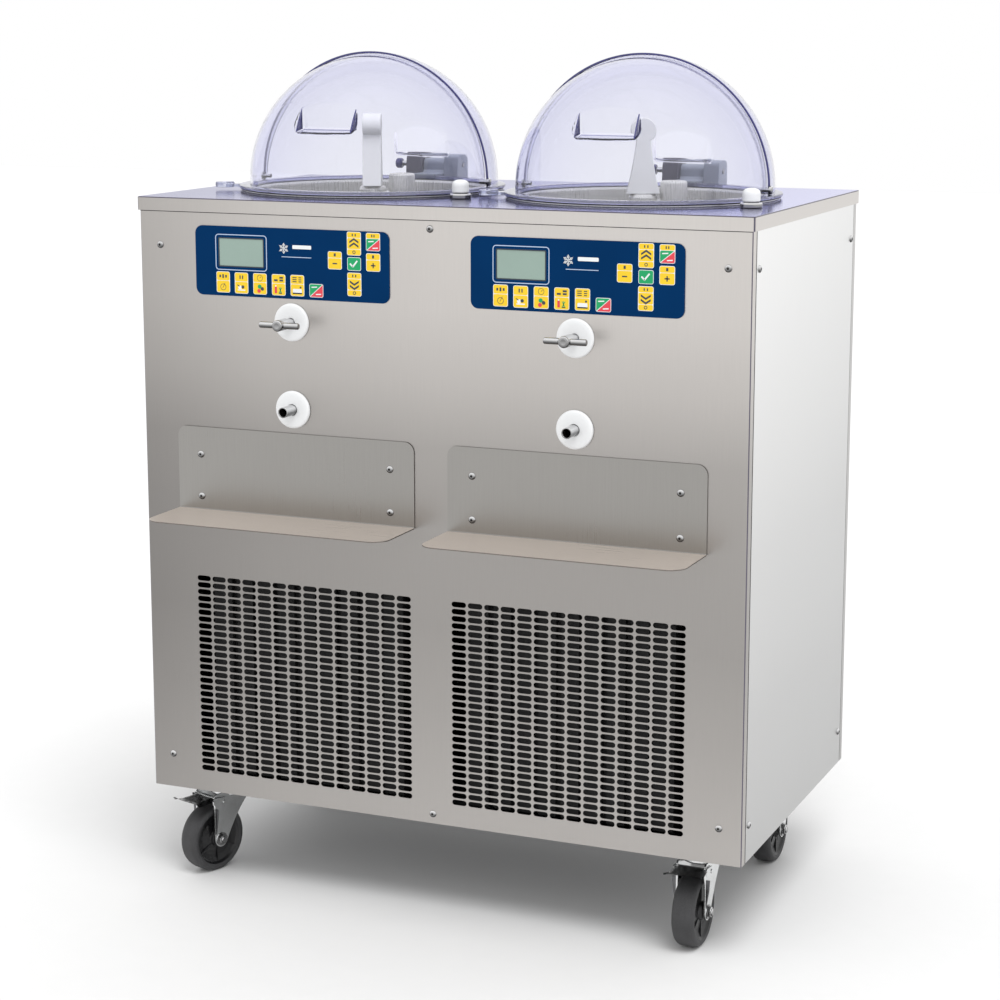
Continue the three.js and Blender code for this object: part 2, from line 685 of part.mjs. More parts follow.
function wheel() {
  const w = WHEEL_WIDTH / 2;
  const bore = AXLE_R + 0.4;
  const shoulder = 4;
  const profile = [
    [bore, -w], [WHEEL_R - shoulder, -w], [WHEEL_R, -w + shoulder], [WHEEL_R, w - shoulder],
    [WHEEL_R - shoulder, w], [bore, w],
  ];
  return ring(profile, WHEEL_SIDES).rotateZ(Math.PI / WHEEL_SIDES).rotateY(Math.PI / 2);
}

function castorPlate() {
  const high = BOTTOM - GAP;
  const low = high - PLATE.thick;
  return join(
    block([-PLATE.width / 2, -PLATE.depth / 2, low], [PLATE.width / 2, PLATE.depth / 2, high]),
    rod('z', CROWN.r + 2, RACE_LOW, low + 1, 0, 0),
  );
}

function pedal() {
  const { pinY, pinZ, pinR, inner, thick, reach } = PEDAL;
  const cheek = PEDAL_CHEEK;
  const tread = PEDAL_TREAD;
  const outer = inner + thick;
  const front = pinY - reach;
  const top = pinZ + cheek.high;
  const cheeks = [-1, 1].map((end) => {
    const [from, to] = rising(end * inner, end * outer);
    return block([from, pinY - cheek.front, pinZ - cheek.low], [to, pinY + cheek.rear, top]);
  });
  const middle = (front + pinY - tread.rear) / 2;
  const width = (outer + tread.wider) * 2;
  return join(
    ...cheeks,
    block([-outer, pinY - cheek.front, top - 3], [outer, pinY - tread.rear, top]),
    box(0, middle, pinZ + tread.z, width, reach - tread.rear, tread.thick),
    rod('x', pinR, -outer, outer, pinY, pinZ, 12),
  );
}

function castors() {
  const parts = { fork: fork(), wheel: wheel(), plate: castorPlate(), pedal: pedal() };
  for (const [name, sideX, sideY, turn] of CASTORS) {
    const x = sideX * CASTOR_X;
    const y = sideY * CASTOR_Y;
    place(`${name}_castor_plate`, parts.plate, ZINC, at(x, y));
    const swivel = at(x, y, 0, turn);
    place(`${name}_castor_fork`, parts.fork, ZINC, swivel);
    place(`${name}_wheel`, parts.wheel.clone().translate(0, -TRAIL, AXLE_Z), TYRE, swivel);
    if (sideY < 0) place(`${name}_brake_pedal`, parts.pedal, ZINC, swivel);
  }
}

basePan();
frontPanel();
sidePanels();
rearPanel();
topCover();
vats();
gearmotors();
compressors();
condensers();
fans();
controlBox();
agitators();
agitatorGrips();
rearLids();
frontLids();
hingeBlocks();
clampKnobs();
controlPanels();
shelves();
discs();
tapHandles();
spouts();
powerInlet();
castors();

export default group;
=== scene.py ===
import json
from math import atan2, copysign, cos, pi, radians, sin, sqrt

import bmesh
import bpy
from mathutils import Matrix, Vector
from mathutils.geometry import delaunay_2d_cdt


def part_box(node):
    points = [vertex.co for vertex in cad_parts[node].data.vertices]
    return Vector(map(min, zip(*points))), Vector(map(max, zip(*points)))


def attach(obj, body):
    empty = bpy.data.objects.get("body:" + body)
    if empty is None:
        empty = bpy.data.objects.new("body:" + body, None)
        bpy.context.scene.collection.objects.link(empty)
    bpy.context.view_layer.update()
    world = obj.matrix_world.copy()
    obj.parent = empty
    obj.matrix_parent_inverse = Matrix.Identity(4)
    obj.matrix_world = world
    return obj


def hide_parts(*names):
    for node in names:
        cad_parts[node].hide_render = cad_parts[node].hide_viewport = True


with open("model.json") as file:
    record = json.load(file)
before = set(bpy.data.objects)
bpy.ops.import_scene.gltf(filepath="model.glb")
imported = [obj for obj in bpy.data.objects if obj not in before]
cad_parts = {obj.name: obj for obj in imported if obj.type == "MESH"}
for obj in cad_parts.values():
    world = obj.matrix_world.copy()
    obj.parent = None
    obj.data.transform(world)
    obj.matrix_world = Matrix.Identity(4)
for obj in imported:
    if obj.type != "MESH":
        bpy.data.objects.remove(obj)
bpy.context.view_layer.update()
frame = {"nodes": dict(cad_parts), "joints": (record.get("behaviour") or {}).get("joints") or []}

# Sizes are in millimetres, and a piece becomes metres as it is emitted; places come from the
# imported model's boxes and joints.
MM = 0.001
TINY = 1e-4
SIDES = ("left", "right")
CASTORS = ("front_left", "front_right", "rear_left", "rear_right")
JOINTS = {j["name"]: j for j in frame["joints"]}


def box(node):
    """A node's lowest and highest corners at rest, in millimetres."""
    lo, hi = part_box(node)
    return lo / MM, hi / MM


def middle(node):
    lo, hi = box(node)
    return (lo + hi) / 2


def pivot_of(joint):
    return Vector(JOINTS[joint]["pos_m"]) / MM


# ---------------------------------------------------------------- cabinet measures
FRONT_LO, FRONT_HI = box("front_panel")
REAR_LO, REAR_HI = box("rear_panel")
COVER_LO, COVER_HI = box("top_cover")
FACE_Y = FRONT_LO.y
CENTRE_Y = (FRONT_LO.y + REAR_HI.y) / 2
TOP_Z = COVER_HI.z
SHEET = 1.5
TUCK = 2.0
FOLD = 3.2
RETURN = FRONT_HI.y - FRONT_LO.y


# ---------------------------------------------------------------- materials
def shader(name):
    mat = bpy.data.materials.new(name)
    mat.use_nodes = True
    tree = mat.node_tree
    return mat, tree, tree.nodes["Principled BSDF"]


def add(tree, kind, **inputs):
    node = tree.nodes.new(kind)
    for key, value in inputs.items():
        node.inputs[key.replace("_", " ")].default_value = value
    return node


def object_noise(tree, scale, stretch=(1, 1, 1), detail=4.0):
    """A noise that sits still on the object, stretched along its axes."""
    coord = tree.nodes.new("ShaderNodeTexCoord")
    mapping = add(tree, "ShaderNodeMapping", Scale=[scale * s for s in stretch])
    noise = add(tree, "ShaderNodeTexNoise", Scale=1.0, Detail=detail)
    tree.links.new(coord.outputs["Object"], mapping.inputs["Vector"])
    tree.links.new(mapping.outputs["Vector"], noise.inputs["Vector"])
    return noise.outputs["Fac"]


def ranged(tree, value, low, high, start=0.3, stop=0.7):
    node = add(tree, "ShaderNodeMapRange", From_Min=start, From_Max=stop, To_Min=low, To_Max=high)
    tree.links.new(value, node.inputs["Value"])
    return node.outputs["Result"]


def colour_mix(tree, mode, factor):
    """A colour mix node, its two colour inputs and its colour output."""
    node = tree.nodes.new("ShaderNodeMix")
    node.data_type = "RGBA"
    node.blend_type = mode
    node.inputs["Factor"].default_value = factor
    first, second = [i for i in node.inputs if i.type == "RGBA"]
    return node, first, second, [o for o in node.outputs if o.type == "RGBA"][0]


def tinted(tree, factor, dark, light):
    """A colour between dark and light by factor."""
    node, first, second, out = colour_mix(tree, "MIX", 0.5)
    first.default_value, second.default_value = (*dark, 1), (*light, 1)
    tree.links.new(factor, node.inputs["Factor"])
    return out


def multiplied(tree, one, other):
    _, first, second, out = colour_mix(tree, "MULTIPLY", 1.0)
    tree.links.new(one, first)
    tree.links.new(other, second)
    return out


def shaded(colour, amount):
    return [min(1.0, max(0.0, c * amount)) for c in colour]


def stops(tree, value, low, high, painted_shade_runs):
    """A run of grey along a value from low to high, for painted shade and painted reflection."""
    ramp = tree.nodes.new("ShaderNodeValToRGB")
    points = ramp.color_ramp.elements
    while len(points) < len(painted_shade_runs):
        points.new(0.5)
    for point, (at, tone) in zip(points, painted_shade_runs):
        point.position = (at - low) / (high - low)
        point.color = (tone, tone, tone, 1)
    tree.links.new(ranged(tree, value, 0.0, 1.0, low, high), ramp.inputs["Fac"])
    return ramp.outputs["Color"]


def along(tree, kind, output, axis):
    """One axis of a vector that a node gives."""
    split = tree.nodes.new("ShaderNodeSeparateXYZ")
    tree.links.new(tree.nodes.new(kind).outputs[output], split.inputs["Vector"])
    return split.outputs[axis]


def bumped(tree, bsdf, height, strength, distance):
    relief = add(tree, "ShaderNodeBump", Strength=strength, Distance=distance)
    tree.links.new(height, relief.inputs["Height"])
    tree.links.new(relief.outputs["Normal"], bsdf.inputs["Normal"])


def surface(name, colour, rough, metal=0.0, grain=600, clouds=20.0, vary=0.05, rough_vary=0.05,
            bump=0.1, depth=0.00003, painted_shade_runs=(), facing_shade=(), **fixed):
    """A finish with a fine grain for roughness and bump, and broad clouds of tone.

    grain is a scale, or a scale and how it is stretched. The runs of grey along the object's axes
    are painted shade and painted reflection in the base colour, and the run of grey by facing is
    painted shade and painted reflection, from faces that look down to faces that look up.
    """
    mat, tree, bsdf = shader(name)
    scale, stretch = grain if isinstance(grain, tuple) else (grain, (1, 1, 1))
    fine = object_noise(tree, scale, stretch, 5.0)
    both = tree.nodes.new("ShaderNodeMath")
    both.operation = "MULTIPLY_ADD"
    both.inputs[1].default_value = 0.5
    tree.links.new(fine, both.inputs[0])
    broad = object_noise(tree, clouds, (1, 1, 1), 3.0)
    tree.links.new(ranged(tree, broad, 0.0, 0.5, 0.0, 1.0), both.inputs[2])
    tone = both.outputs["Value"]
    base = tinted(tree, ranged(tree, tone, 0.0, 1.0, 0.35, 0.65),
                  shaded(colour, 1 - vary), shaded(colour, 1 + vary))
    # Painted shade and painted reflection: grey runs along the object's axes darken or brighten the
    # base colour.
    for axis, run in painted_shade_runs:
        place = along(tree, "ShaderNodeTexCoord", "Object", axis)
        base = multiplied(tree, base, stops(tree, place, run[0][0], run[-1][0], run))
    # Painted shade and painted reflection: faces that look down get a darker base colour.
    if facing_shade:
        facing = along(tree, "ShaderNodeNewGeometry", "Normal", "Z")
        base = multiplied(tree, base, stops(tree, facing, -1, 1, facing_shade))
    tree.links.new(base, bsdf.inputs["Base Color"])
    tree.links.new(ranged(tree, tone, rough - rough_vary, rough + rough_vary, 0.35, 0.65),
                   bsdf.inputs["Roughness"])
    bumped(tree, bsdf, fine, bump, depth)
    bsdf.inputs["Metallic"].default_value = metal
    for key, value in fixed.items():
        bsdf.inputs[key.replace("_", " ")].default_value = value
    return mat


VERTICAL = (900, (1, 1, 0.02))
ALONG_X = (900, (0.02, 1, 1))
# Painted shade and painted reflection: grey runs that darken the sheet steel's base colour by height
# and from side to side.
FRONT_PAINTED_SHADE_RUN = (
    ("Z", ((0.15, 0.74), (0.30, 0.61), (0.42, 0.54), (0.55, 0.56), (0.67, 0.62), (0.76, 0.80),
           (0.86, 0.94), (0.98, 1.0))),
    ("X", ((-0.45, 0.67), (-0.25, 0.85), (0.0, 0.95), (0.45, 0.98))),
)
SIDE_PAINTED_SHADE_RUN = (("Z", ((0.13, 0.58), (0.32, 0.61), (0.42, 0.66), (0.55, 0.71), (0.70, 0.82),
                     (0.98, 1.0))),
              ("Y", ((-0.30, 1.0), (0.32, 0.90))))
REAR_PAINTED_SHADE_RUN = (("Z", ((0.13, 0.70), (0.45, 0.80), (0.98, 1.0))),)
# Painted reflection on the cover: darker towards the left, brighter towards the right.
COVER_PAINTED_REFLECTION_RUN = (("X", ((-0.45, 0.62), (0.0, 0.95), (0.45, 1.45))),)
# One brushed steel in lit and shaded copies: the front, rear and shelf steels carry painted shade in
# a darker base colour, and the side steel carries painted light in a brighter one.
# Sheet steel: name, colour, roughness, metal, grain, clouds, vary, rough_vary, bump
STEEL_FRONT_PAINTED_SHADE = surface("brushed_steel_front_painted_shade", (0.65, 0.62, 0.594), 0.36, 1.0, VERTICAL, 2.5, 0.03,
                      bump=0.2, painted_shade_runs=FRONT_PAINTED_SHADE_RUN)
STEEL_SIDE_PAINTED_LIGHT = surface("brushed_steel_side_painted_light", (0.88, 0.88, 0.875), 0.34, 1.0, VERTICAL, 2.5, 0.03,
                     bump=0.2, painted_shade_runs=SIDE_PAINTED_SHADE_RUN)
STEEL_REAR_PAINTED_SHADE = surface("brushed_steel_rear_painted_shade", (0.52, 0.515, 0.505), 0.34, 1.0, VERTICAL, 2.5, 0.03,
                     bump=0.2, painted_shade_runs=REAR_PAINTED_SHADE_RUN)
STEEL_SHELF_PAINTED_SHADE = surface("brushed_steel_shelf_painted_shade", (0.325, 0.315, 0.30), 0.32, 1.0, VERTICAL, 5.0, 0.04,
                      bump=0.2)
# Painted shade: a dark rim for the shelves' sheet edges, a shadow line round the plate.
STEEL_EDGE_PAINTED_SHADE = surface("sheet_edge_painted_shade", (0.20, 0.18, 0.165), 0.4, 1.0, 600, 12.0, 0.12, bump=0.2)
# Painted reflection: the tray's pinkish-brown tint in its base colour.
STEEL_TRAY_PAINTED_REFLECTION = surface("brushed_steel_tray_painted_reflection", (0.62, 0.55, 0.49), 0.32, 0.45, ALONG_X, 5.0, bump=0.2)
# Painted reflection: the cover's violet tint in base colour and specular tint.
STEEL_COVER_PAINTED_REFLECTION = surface("polished_steel_cover_painted_reflection", (0.60, 0.60, 0.70), 0.16, 1.0, ALONG_X, 3.0, 0.03,
                      0.03, 0.12, painted_shade_runs=COVER_PAINTED_REFLECTION_RUN, Specular_Tint=(0.75, 0.75, 0.9, 1))
STEEL_VAT = surface("satin_vat_steel", (0.78, 0.775, 0.755), 0.28, 0.5, (1300, (1, 1, 0.02)), 8.0,
                    0.02, bump=0.03, depth=0.00002)
# Plated fittings: painted reflection and shade, with undersides painted darker as if they mirrored
# what stands below them
UNDERSIDE_PAINTED_REFLECTION = ((-1.0, 0.16), (-0.35, 0.12), (-0.05, 0.30), (0.25, 0.75), (0.6, 1.0), (1.0, 0.7))
UNDERSIDE_SOFT_PAINTED_REFLECTION = ((-1.0, 0.35), (-0.3, 0.5), (0.0, 0.95), (0.6, 1.0), (1.0, 0.8))
CHROME = surface("bright_fitting_steel", (0.80, 0.80, 0.805), 0.12, 1.0, 700, 30.0, 0.06, 0.04,
                 0.06, 0.00002, facing_shade=UNDERSIDE_PAINTED_REFLECTION)
ZINC = surface("bright_zinc", (0.80, 0.81, 0.81), 0.22, 1.0, 220, 40.0, 0.06, 0.05, 0.06, 0.00004,
               facing_shade=UNDERSIDE_SOFT_PAINTED_REFLECTION)
# The louvres carry the rear's painted shade runs and painted shade on their undersides.
LOUVRE_STEEL = surface("pressed_louvre_steel", (0.58, 0.57, 0.56), 0.3, 1.0, ALONG_X, 10.0, 0.04,
                       bump=0.2, painted_shade_runs=REAR_PAINTED_SHADE_RUN, facing_shade=UNDERSIDE_PAINTED_REFLECTION)
# Painted shade: a darker copy of the zinc for the fork legs' front flanges.
ZINC_PAINTED_SHADE = surface("shaded_zinc", (0.13, 0.13, 0.135), 0.3, 0.9, 220, 40.0, 0.15, 0.06, 0.08,
                    0.00004)
PEDAL_STEEL = surface("pressed_pedal_steel", (0.46, 0.46, 0.46), 0.18, 1.0, 220, 40.0, 0.12, 0.06,
                      0.08, 0.00004, facing_shade=UNDERSIDE_PAINTED_REFLECTION)
# Painted reflection: a dark line on the middle of the sheets' bends.
BEND_PAINTED_REFLECTION = surface("sheet_bend_painted_reflection", (0.13, 0.12, 0.16), 0.3, 1.0, 900, 10.0, 0.1)
# Mouldings, castings and coats
WHITE = surface("white_acetal", (0.79, 0.80, 0.81), 0.40, 0.0, 600, 18.0, 0.012, depth=0.00004)
# Painted light: a brighter copy of the white acetal for the grips under the domes.
GRIP_WHITE_PAINTED_LIGHT = surface("white_acetal_painted_light", (0.96, 0.965, 0.97), 0.45, 0.0, 600, 18.0, 0.01,
                     depth=0.00004)
BLACK = surface("black_nylon", (0.010, 0.010, 0.011), 0.32, 0.0, 900, 30.0, 0.25, 0.08, 0.35,
                0.0001)
TREAD = surface("dark_grey_tread", (0.038, 0.038, 0.040), 0.60, 0.0, 500, 45.0, 0.30, 0.10, 0.4,
                0.00015)
GREY_DARK = surface("violet_grey_moulding", (0.105, 0.10, 0.135), 0.42, 0.0, 700, 25.0, 0.08, 0.06,
                    0.25, 0.00008)
GREY_LIGHT = surface("blue_grey_moulding", (0.30, 0.325, 0.385), 0.40, 0.0, 700, 25.0, 0.06, 0.06,
                     0.25, 0.00008)
# Condenser fins: black paint, darkened further to near black as painted shade for the dark inside
# behind the front slots.
BLACK_FINS_AND_PAINTED_SHADE = surface("black_condenser_fins_and_painted_shade", (0.005, 0.005, 0.0055), 0.75, 0.0,
                    (1400, (1, 0.05, 0.02)), 20.0, 0.4, 0.1, 0.6, 0.0006)
ENAMEL = surface("black_enamel", (0.022, 0.024, 0.028), 0.38, 0.0, 240, 14.0, 0.2, 0.08, 0.3,
                 0.0002)
POWDER = surface("light_grey_powder_coat", (0.46, 0.47, 0.48), 0.5, 0.0, 800, 8.0, 0.04, 0.06, 0.5,
                 0.0002)
# Painted shade: the base pan is darkened for the shade under the cabinet.
PAN_PAINTED_SHADE = surface("pan_painted_shade", (0.085, 0.087, 0.09), 0.55, 0.2, 60, 16.0, 0.12, 0.10, 0.15,
                   0.0001)
GASKET = surface("black_gasket_rubber", (0.012, 0.012, 0.014), 0.6, 0.0, 600, 30.0, 0.2, 0.1, 0.3,
                 0.0001)
# Painted shade: the dark inside of screw sockets and the spouts' bores.
BORE_PAINTED_SHADE = surface("shaded_bore", (0.03, 0.028, 0.026), 0.5, 0.6, 400, 30.0, 0.2, 0.08, 0.2,
                    0.0001)
SEAM = surface("tinted_cut_edge", (0.03, 0.03, 0.17), 0.18, 0.0, 500, 20.0, 0.15, 0.06,
               depth=0.00004, Coat_Weight=0.5, Coat_Roughness=0.1)
SEAM_LIGHT = surface("clear_cut_edge", (0.36, 0.38, 0.50), 0.2, 0.0, 500, 20.0, 0.1, 0.06,
                     depth=0.00004, Coat_Weight=0.5, Coat_Roughness=0.1)


def film(name, colour, vary, rough=0.4, clouds=60.0, bump=0.2, depth=0.00003, **fixed):
    """Printed film on the key panels."""
    return surface(name, colour, rough, 0.0, 1500, clouds, vary, 0.04, bump, depth, **fixed)


NAVY = film("navy_overlay_film", (0.0012, 0.028, 0.102), 0.08, 0.38, 12.0, Specular_IOR_Level=0.02)
YELLOW = film("yellow_key_film", (0.84, 0.57, 0.03), 0.04, Specular_IOR_Level=0.2)
GREEN = film("green_key_film", (0.018, 0.34, 0.125), 0.05, Specular_IOR_Level=0.2)
RED = film("red_key_film", (0.68, 0.045, 0.065), 0.05, 0.36, bump=0.25, depth=0.00004)
PRINT_WHITE = film("white_print", (0.78, 0.80, 0.81), 0.02)
PRINT_PALE = film("pale_blue_print", (0.42, 0.52, 0.70), 0.03)
PRINT_DARK = film("dark_print", (0.035, 0.045, 0.06), 0.1)
LCD_EDGE = film("dark_bezel_film", (0.020, 0.030, 0.045), 0.1, 0.3, 20.0)
LCD = surface("grey_green_crystal", (0.25, 0.345, 0.30), 0.16, 0.0, 2500, 20.0, 0.05, 0.03, 0.06,
              0.00002, Coat_Weight=0.6, Coat_Roughness=0.05)


def clear(name, colour, edge, rough, transmission=1.0):
    """Clear acrylic, deeper in colour at a slant, with finger marks in its roughness."""
    mat, tree, bsdf = shader(name)
    marks = object_noise(tree, 14.0, (1, 1, 1), 5.0)
    waves = object_noise(tree, 9.0, (1, 1, 1), 1.0)
    slant = add(tree, "ShaderNodeLayerWeight", Blend=0.35)
    depth = tinted(tree, slant.outputs["Facing"], colour, edge)
    smear = tinted(tree, ranged(tree, marks, 0.0, 1.0), (0.985, 0.985, 0.985), (1, 1, 1))
    tree.links.new(multiplied(tree, depth, smear), bsdf.inputs["Base Color"])
    tree.links.new(ranged(tree, marks, rough * 0.4, rough * 1.8), bsdf.inputs["Roughness"])
    bumped(tree, bsdf, waves, 0.04, 0.0006)
    bsdf.inputs["IOR"].default_value = 1.46
    bsdf.inputs["Transmission Weight"].default_value = transmission
    return mat


DOME = clear("clear_violet_acrylic", (0.93, 0.935, 0.985), (0.70, 0.70, 0.93), 0.02)
FLANGE_CLEAR = clear("violet_flange_acrylic", (0.58, 0.59, 0.78), (0.34, 0.34, 0.62), 0.06, 0.9)
TAB_CLEAR = clear("pale_violet_acrylic", (0.72, 0.75, 0.88), (0.5, 0.5, 0.75), 0.06, 0.85)


# ---------------------------------------------------------------- mesh tools
MADE = []
AS_BUILT = "as built"


def outwards(bm, facing=None):
    """Turns the faces outwards; an open sheet looks mostly along facing."""
    bmesh.ops.recalc_face_normals(bm, faces=bm.faces)
    if facing:
        total = sum((f.normal * f.calc_area() for f in bm.faces), Vector())
        if total.dot(Vector(facing)) < 0:
            bmesh.ops.reverse_faces(bm, faces=bm.faces)


def merged(bm):
    bmesh.ops.remove_doubles(bm, verts=bm.verts, dist=10 * TINY)


def finished(mesh, angle):
    mesh.shade_smooth()
    mesh.set_sharp_from_angle(angle=radians(angle))
    return mesh


def emit(name, bm, materials, stands_for=(), angle=32.0, body="cabinet", facing=None):
    """Turns a bmesh in millimetres into a piece in metres that rides on a body; its faces turn
    outwards, unless facing says that they are wound already."""
    if facing != AS_BUILT:
        outwards(bm, facing)
    bm.transform(Matrix.Scale(MM, 4))
    mesh = bpy.data.meshes.new(name)
    bm.to_mesh(mesh)
    bm.free()
    for mat in materials if isinstance(materials, list) else [materials]:
        mesh.materials.append(mat)
    obj = bpy.data.objects.new(name, finished(mesh, angle))
    bpy.context.scene.collection.objects.link(obj)
    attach(obj, body)
    if stands_for:
        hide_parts(*stands_for)
    MADE.append((obj, angle))
    return obj


def settle():
    """Applies every modifier, then weights the normals by area so that flat faces stay flat."""
    depsgraph = bpy.context.evaluated_depsgraph_get()
    for obj, angle in MADE:
        obj.visible_shadow = obj.data.materials[0] not in (DOME, FLANGE_CLEAR, TAB_CLEAR)
        if obj.modifiers:
            mesh = bpy.data.meshes.new_from_object(obj.evaluated_get(depsgraph))
            obj.modifiers.clear()
            mesh.name = obj.name
            obj.data = finished(mesh, angle)
        weighted = obj.modifiers.new("weighted", "WEIGHTED_NORMAL")
        weighted.keep_sharp = True
        weighted.weight = 100


def thicken(obj, thickness, offset=-1.0, rim=0):
    mod = obj.modifiers.new("sheet", "SOLIDIFY")
    mod.thickness = thickness * MM
    mod.offset = offset
    mod.use_even_offset = True
    mod.material_offset_rim = rim


def soften(obj, width, segments=2, angle=40.0):
    mod = obj.modifiers.new("edge", "BEVEL")
    mod.width = width * MM
    mod.segments = segments
    mod.limit_method = "ANGLE"
    mod.angle_limit = radians(angle)


def arc(cx, cz, r, start, stop, steps):
    return [(cx + r * cos(radians(start + (stop - start) * i / steps)),
             cz + r * sin(radians(start + (stop - start) * i / steps)))
            for i in range(steps + 1)]


def circle(cx, cz, r, count=48):
    return arc(cx, cz, r, 0, 360, count)[:-1]


def stadium(cx, cz, width, height, steps=6):
    r = height / 2
    return arc(cx + width / 2 - r, cz, r, -90, 90, steps) + \
        arc(cx - width / 2 + r, cz, r, 90, 270, steps)


def rounded(cx, cz, width, height, radii, steps=6):
    """A rectangle with its four corner radii: low left, low right, high right, high left."""
    if not isinstance(radii, (tuple, list)):
        radii = (radii,) * 4
    w, h = width / 2, height / 2
    points = []
    corners = ((-w, -h, 180), (w, -h, 270), (w, h, 0), (-w, h, 90))
    for (x, z, start), r in zip(corners, radii):
        if r <= 0:
            points.append((cx + x, cz + z))
            continue
        inner_x = cx + x - copysign(r, x)
        inner_z = cz + z - copysign(r, z)
        points += arc(inner_x, inner_z, r, start, start + 90, steps)
    return points


def filled(bm, outer, holes, place, lines=()):
    """Fills an outline with holes; place turns a flat point into a point in the frame."""
    coords, edges, loops = [], [], []
    for loop in [outer, *holes]:
        loops.append(list(range(len(coords), len(coords) + len(loop))))
        coords += [Vector(p) for p in loop]
    for a, b in lines:
        edges.append((len(coords), len(coords) + 1))
        coords += [Vector(a), Vector(b)]
    flat, _, faces, _, _, owners = delaunay_2d_cdt(coords, edges, loops, 1, TINY)
    verts = [bm.verts.new(place(p.x, p.y)) for p in flat]
    for f, owner in zip(faces, owners):
        if list(owner) == [0]:
            bm.faces.new([verts[i] for i in f])
    bmesh.ops.delete(bm, geom=[v for v in verts if not v.link_faces], context="VERTS")


def skin(bm, rows, closed=True, looped=False, mat=0):
    """Joins rows of points by faces; closed joins a row's ends, looped the last row to the first."""
    made = []
    for a, b in list(zip(rows, rows[1:])) + ([(rows[-1], rows[0])] if looped else []):
        for i in range(len(a) if closed else len(a) - 1):
            j = (i + 1) % len(a)
            made.append(bm.faces.new((a[i], a[j], b[j], b[i])))
            made[-1].material_index = mat
    return made


def placed(bm, outline, place, height=0.0):
    return [bm.verts.new(place(u, v, height)) for u, v in outline]


def prism(bm, outline, place, low, high, mat=0):
    """A closed slab on an outline; place(u, v, w) turns a point at height w into the frame."""
    rings = [placed(bm, outline, place, w) for w in (low, high)]
    skin(bm, rings, mat=mat)
    for ring in (rings[0][::-1], rings[1]):
        bm.faces.new(ring).material_index = mat


def lathe(bm, profile, matrix, count=48, mat=0, closed=False):
    """Turns a profile of (radius, height) about Z; matrix then puts it in place."""
    rings = []
    for r, z in profile:
        turns = [2 * pi * i / count for i in range(count if r > TINY else 1)]
        rings.append([bm.verts.new(matrix @ Vector((r * cos(a), r * sin(a), z))) for a in turns])
    for low, high in list(zip(rings, rings[1:])) + ([(rings[-1], rings[0])] if closed else []):
        if len(low) == len(high) == count:
            skin(bm, [low, high], mat=mat)
            continue
        for i in range(count if len(low) != len(high) else 0):
            j = (i + 1) % count
            corners = (low[0], high[j], high[i]) if len(low) == 1 else (low[i], low[j], high[0])
            bm.faces.new(corners).material_index = mat


def rounded_profile(points, radius, steps=3):
    """Rounds the inner corners of an open profile of (radius, height)."""
    made = [points[0]]
    for before, here, after in zip(points, points[1:], points[2:]):
        p, a, b = Vector(here), Vector(before), Vector(after)
        reach = min(radius, (a - p).length * 0.45, (b - p).length * 0.45)
        start, stop = p + (a - p).normalized() * reach, p + (b - p).normalized() * reach
        for i in range(steps + 1):
            t = i / steps
            q = start * (1 - t) ** 2 + p * 2 * t * (1 - t) + stop * t ** 2
            made.append((max(q.x, 0.0), q.y))
    made.append(points[-1])
    return made


TURNS = {"front": Matrix.Rotation(pi / 2, 4, "X"), "rear": Matrix.Rotation(-pi / 2, 4, "X"),
         "right": Matrix.Rotation(pi / 2, 4, "Y"), "left": Matrix.Rotation(-pi / 2, 4, "Y"),
         "up": Matrix.Identity(4)}


def moved(x, y, z=0.0, face="up", turn=0.0):
    """A matrix at a point, turned about Z, whose own Z axis looks along face."""
    return Matrix.Translation((x, y, z)) @ Matrix.Rotation(turn, 4, "Z") @ TURNS[face]


def on(matrix):
    return lambda u, v, w: matrix @ Vector((u, v, w))


def flat(u, v, w):
    return Vector((u, v, w))


def edgewise(u, v, w):
    """An outline in the YZ plane, with its height along X."""
    return Vector((w, u, v))


def front_plane(origin):
    """Flat x and z about origin, with height growing towards the operator."""
    return lambda u, v, w=0.0: Vector((origin.x + u, origin.y - w, origin.z + v))


# ---------------------------------------------------------------- screws
SCREW_R = 5.2
SCREW_H = 2.6
SOCKET_R = 1.9
SCREW_SIDES = 24


def screw(bm, matrix, spin=0.0):
    """A button-head screw with a hexagon socket; its head grows along +Z."""
    turns = [2 * pi * i / SCREW_SIDES for i in range(SCREW_SIDES)]
    head = [(1.0, 0.0), (1.0, 0.12), (0.95, 0.35), (0.84, 0.62), (0.66, 0.86), (0.52, 0.96)]
    rings = [([SCREW_R * r] * SCREW_SIDES, z) for r, z in head]
    socket = [SOCKET_R * cos(pi / 6) / cos(a % (pi / 3) - pi / 6) for a in turns]
    rings += [(socket, 0.98), (socket, 0.30)]
    local = matrix @ Matrix.Rotation(spin, 4, "Z")
    loops = [[bm.verts.new(local @ Vector((r * cos(a), r * sin(a), SCREW_H * z)))
              for r, a in zip(radii, turns)] for radii, z in rings]
    skin(bm, loops)
    # The socket's floor takes the painted shade.
    bm.faces.new(loops[-1]).material_index = 1


# ---------------------------------------------------------------- front sheet
SLOT_W, SLOT_H = 21.9, 7.7
SLOT_PITCH_X, SLOT_PITCH_Z = 24.34, 10.13
SLOT_COLUMNS, SLOT_ROWS = 14, 29
GRILLE_LEFT_X = (-359.2, 40.6)
GRILLE_LOW_Z = 170.3


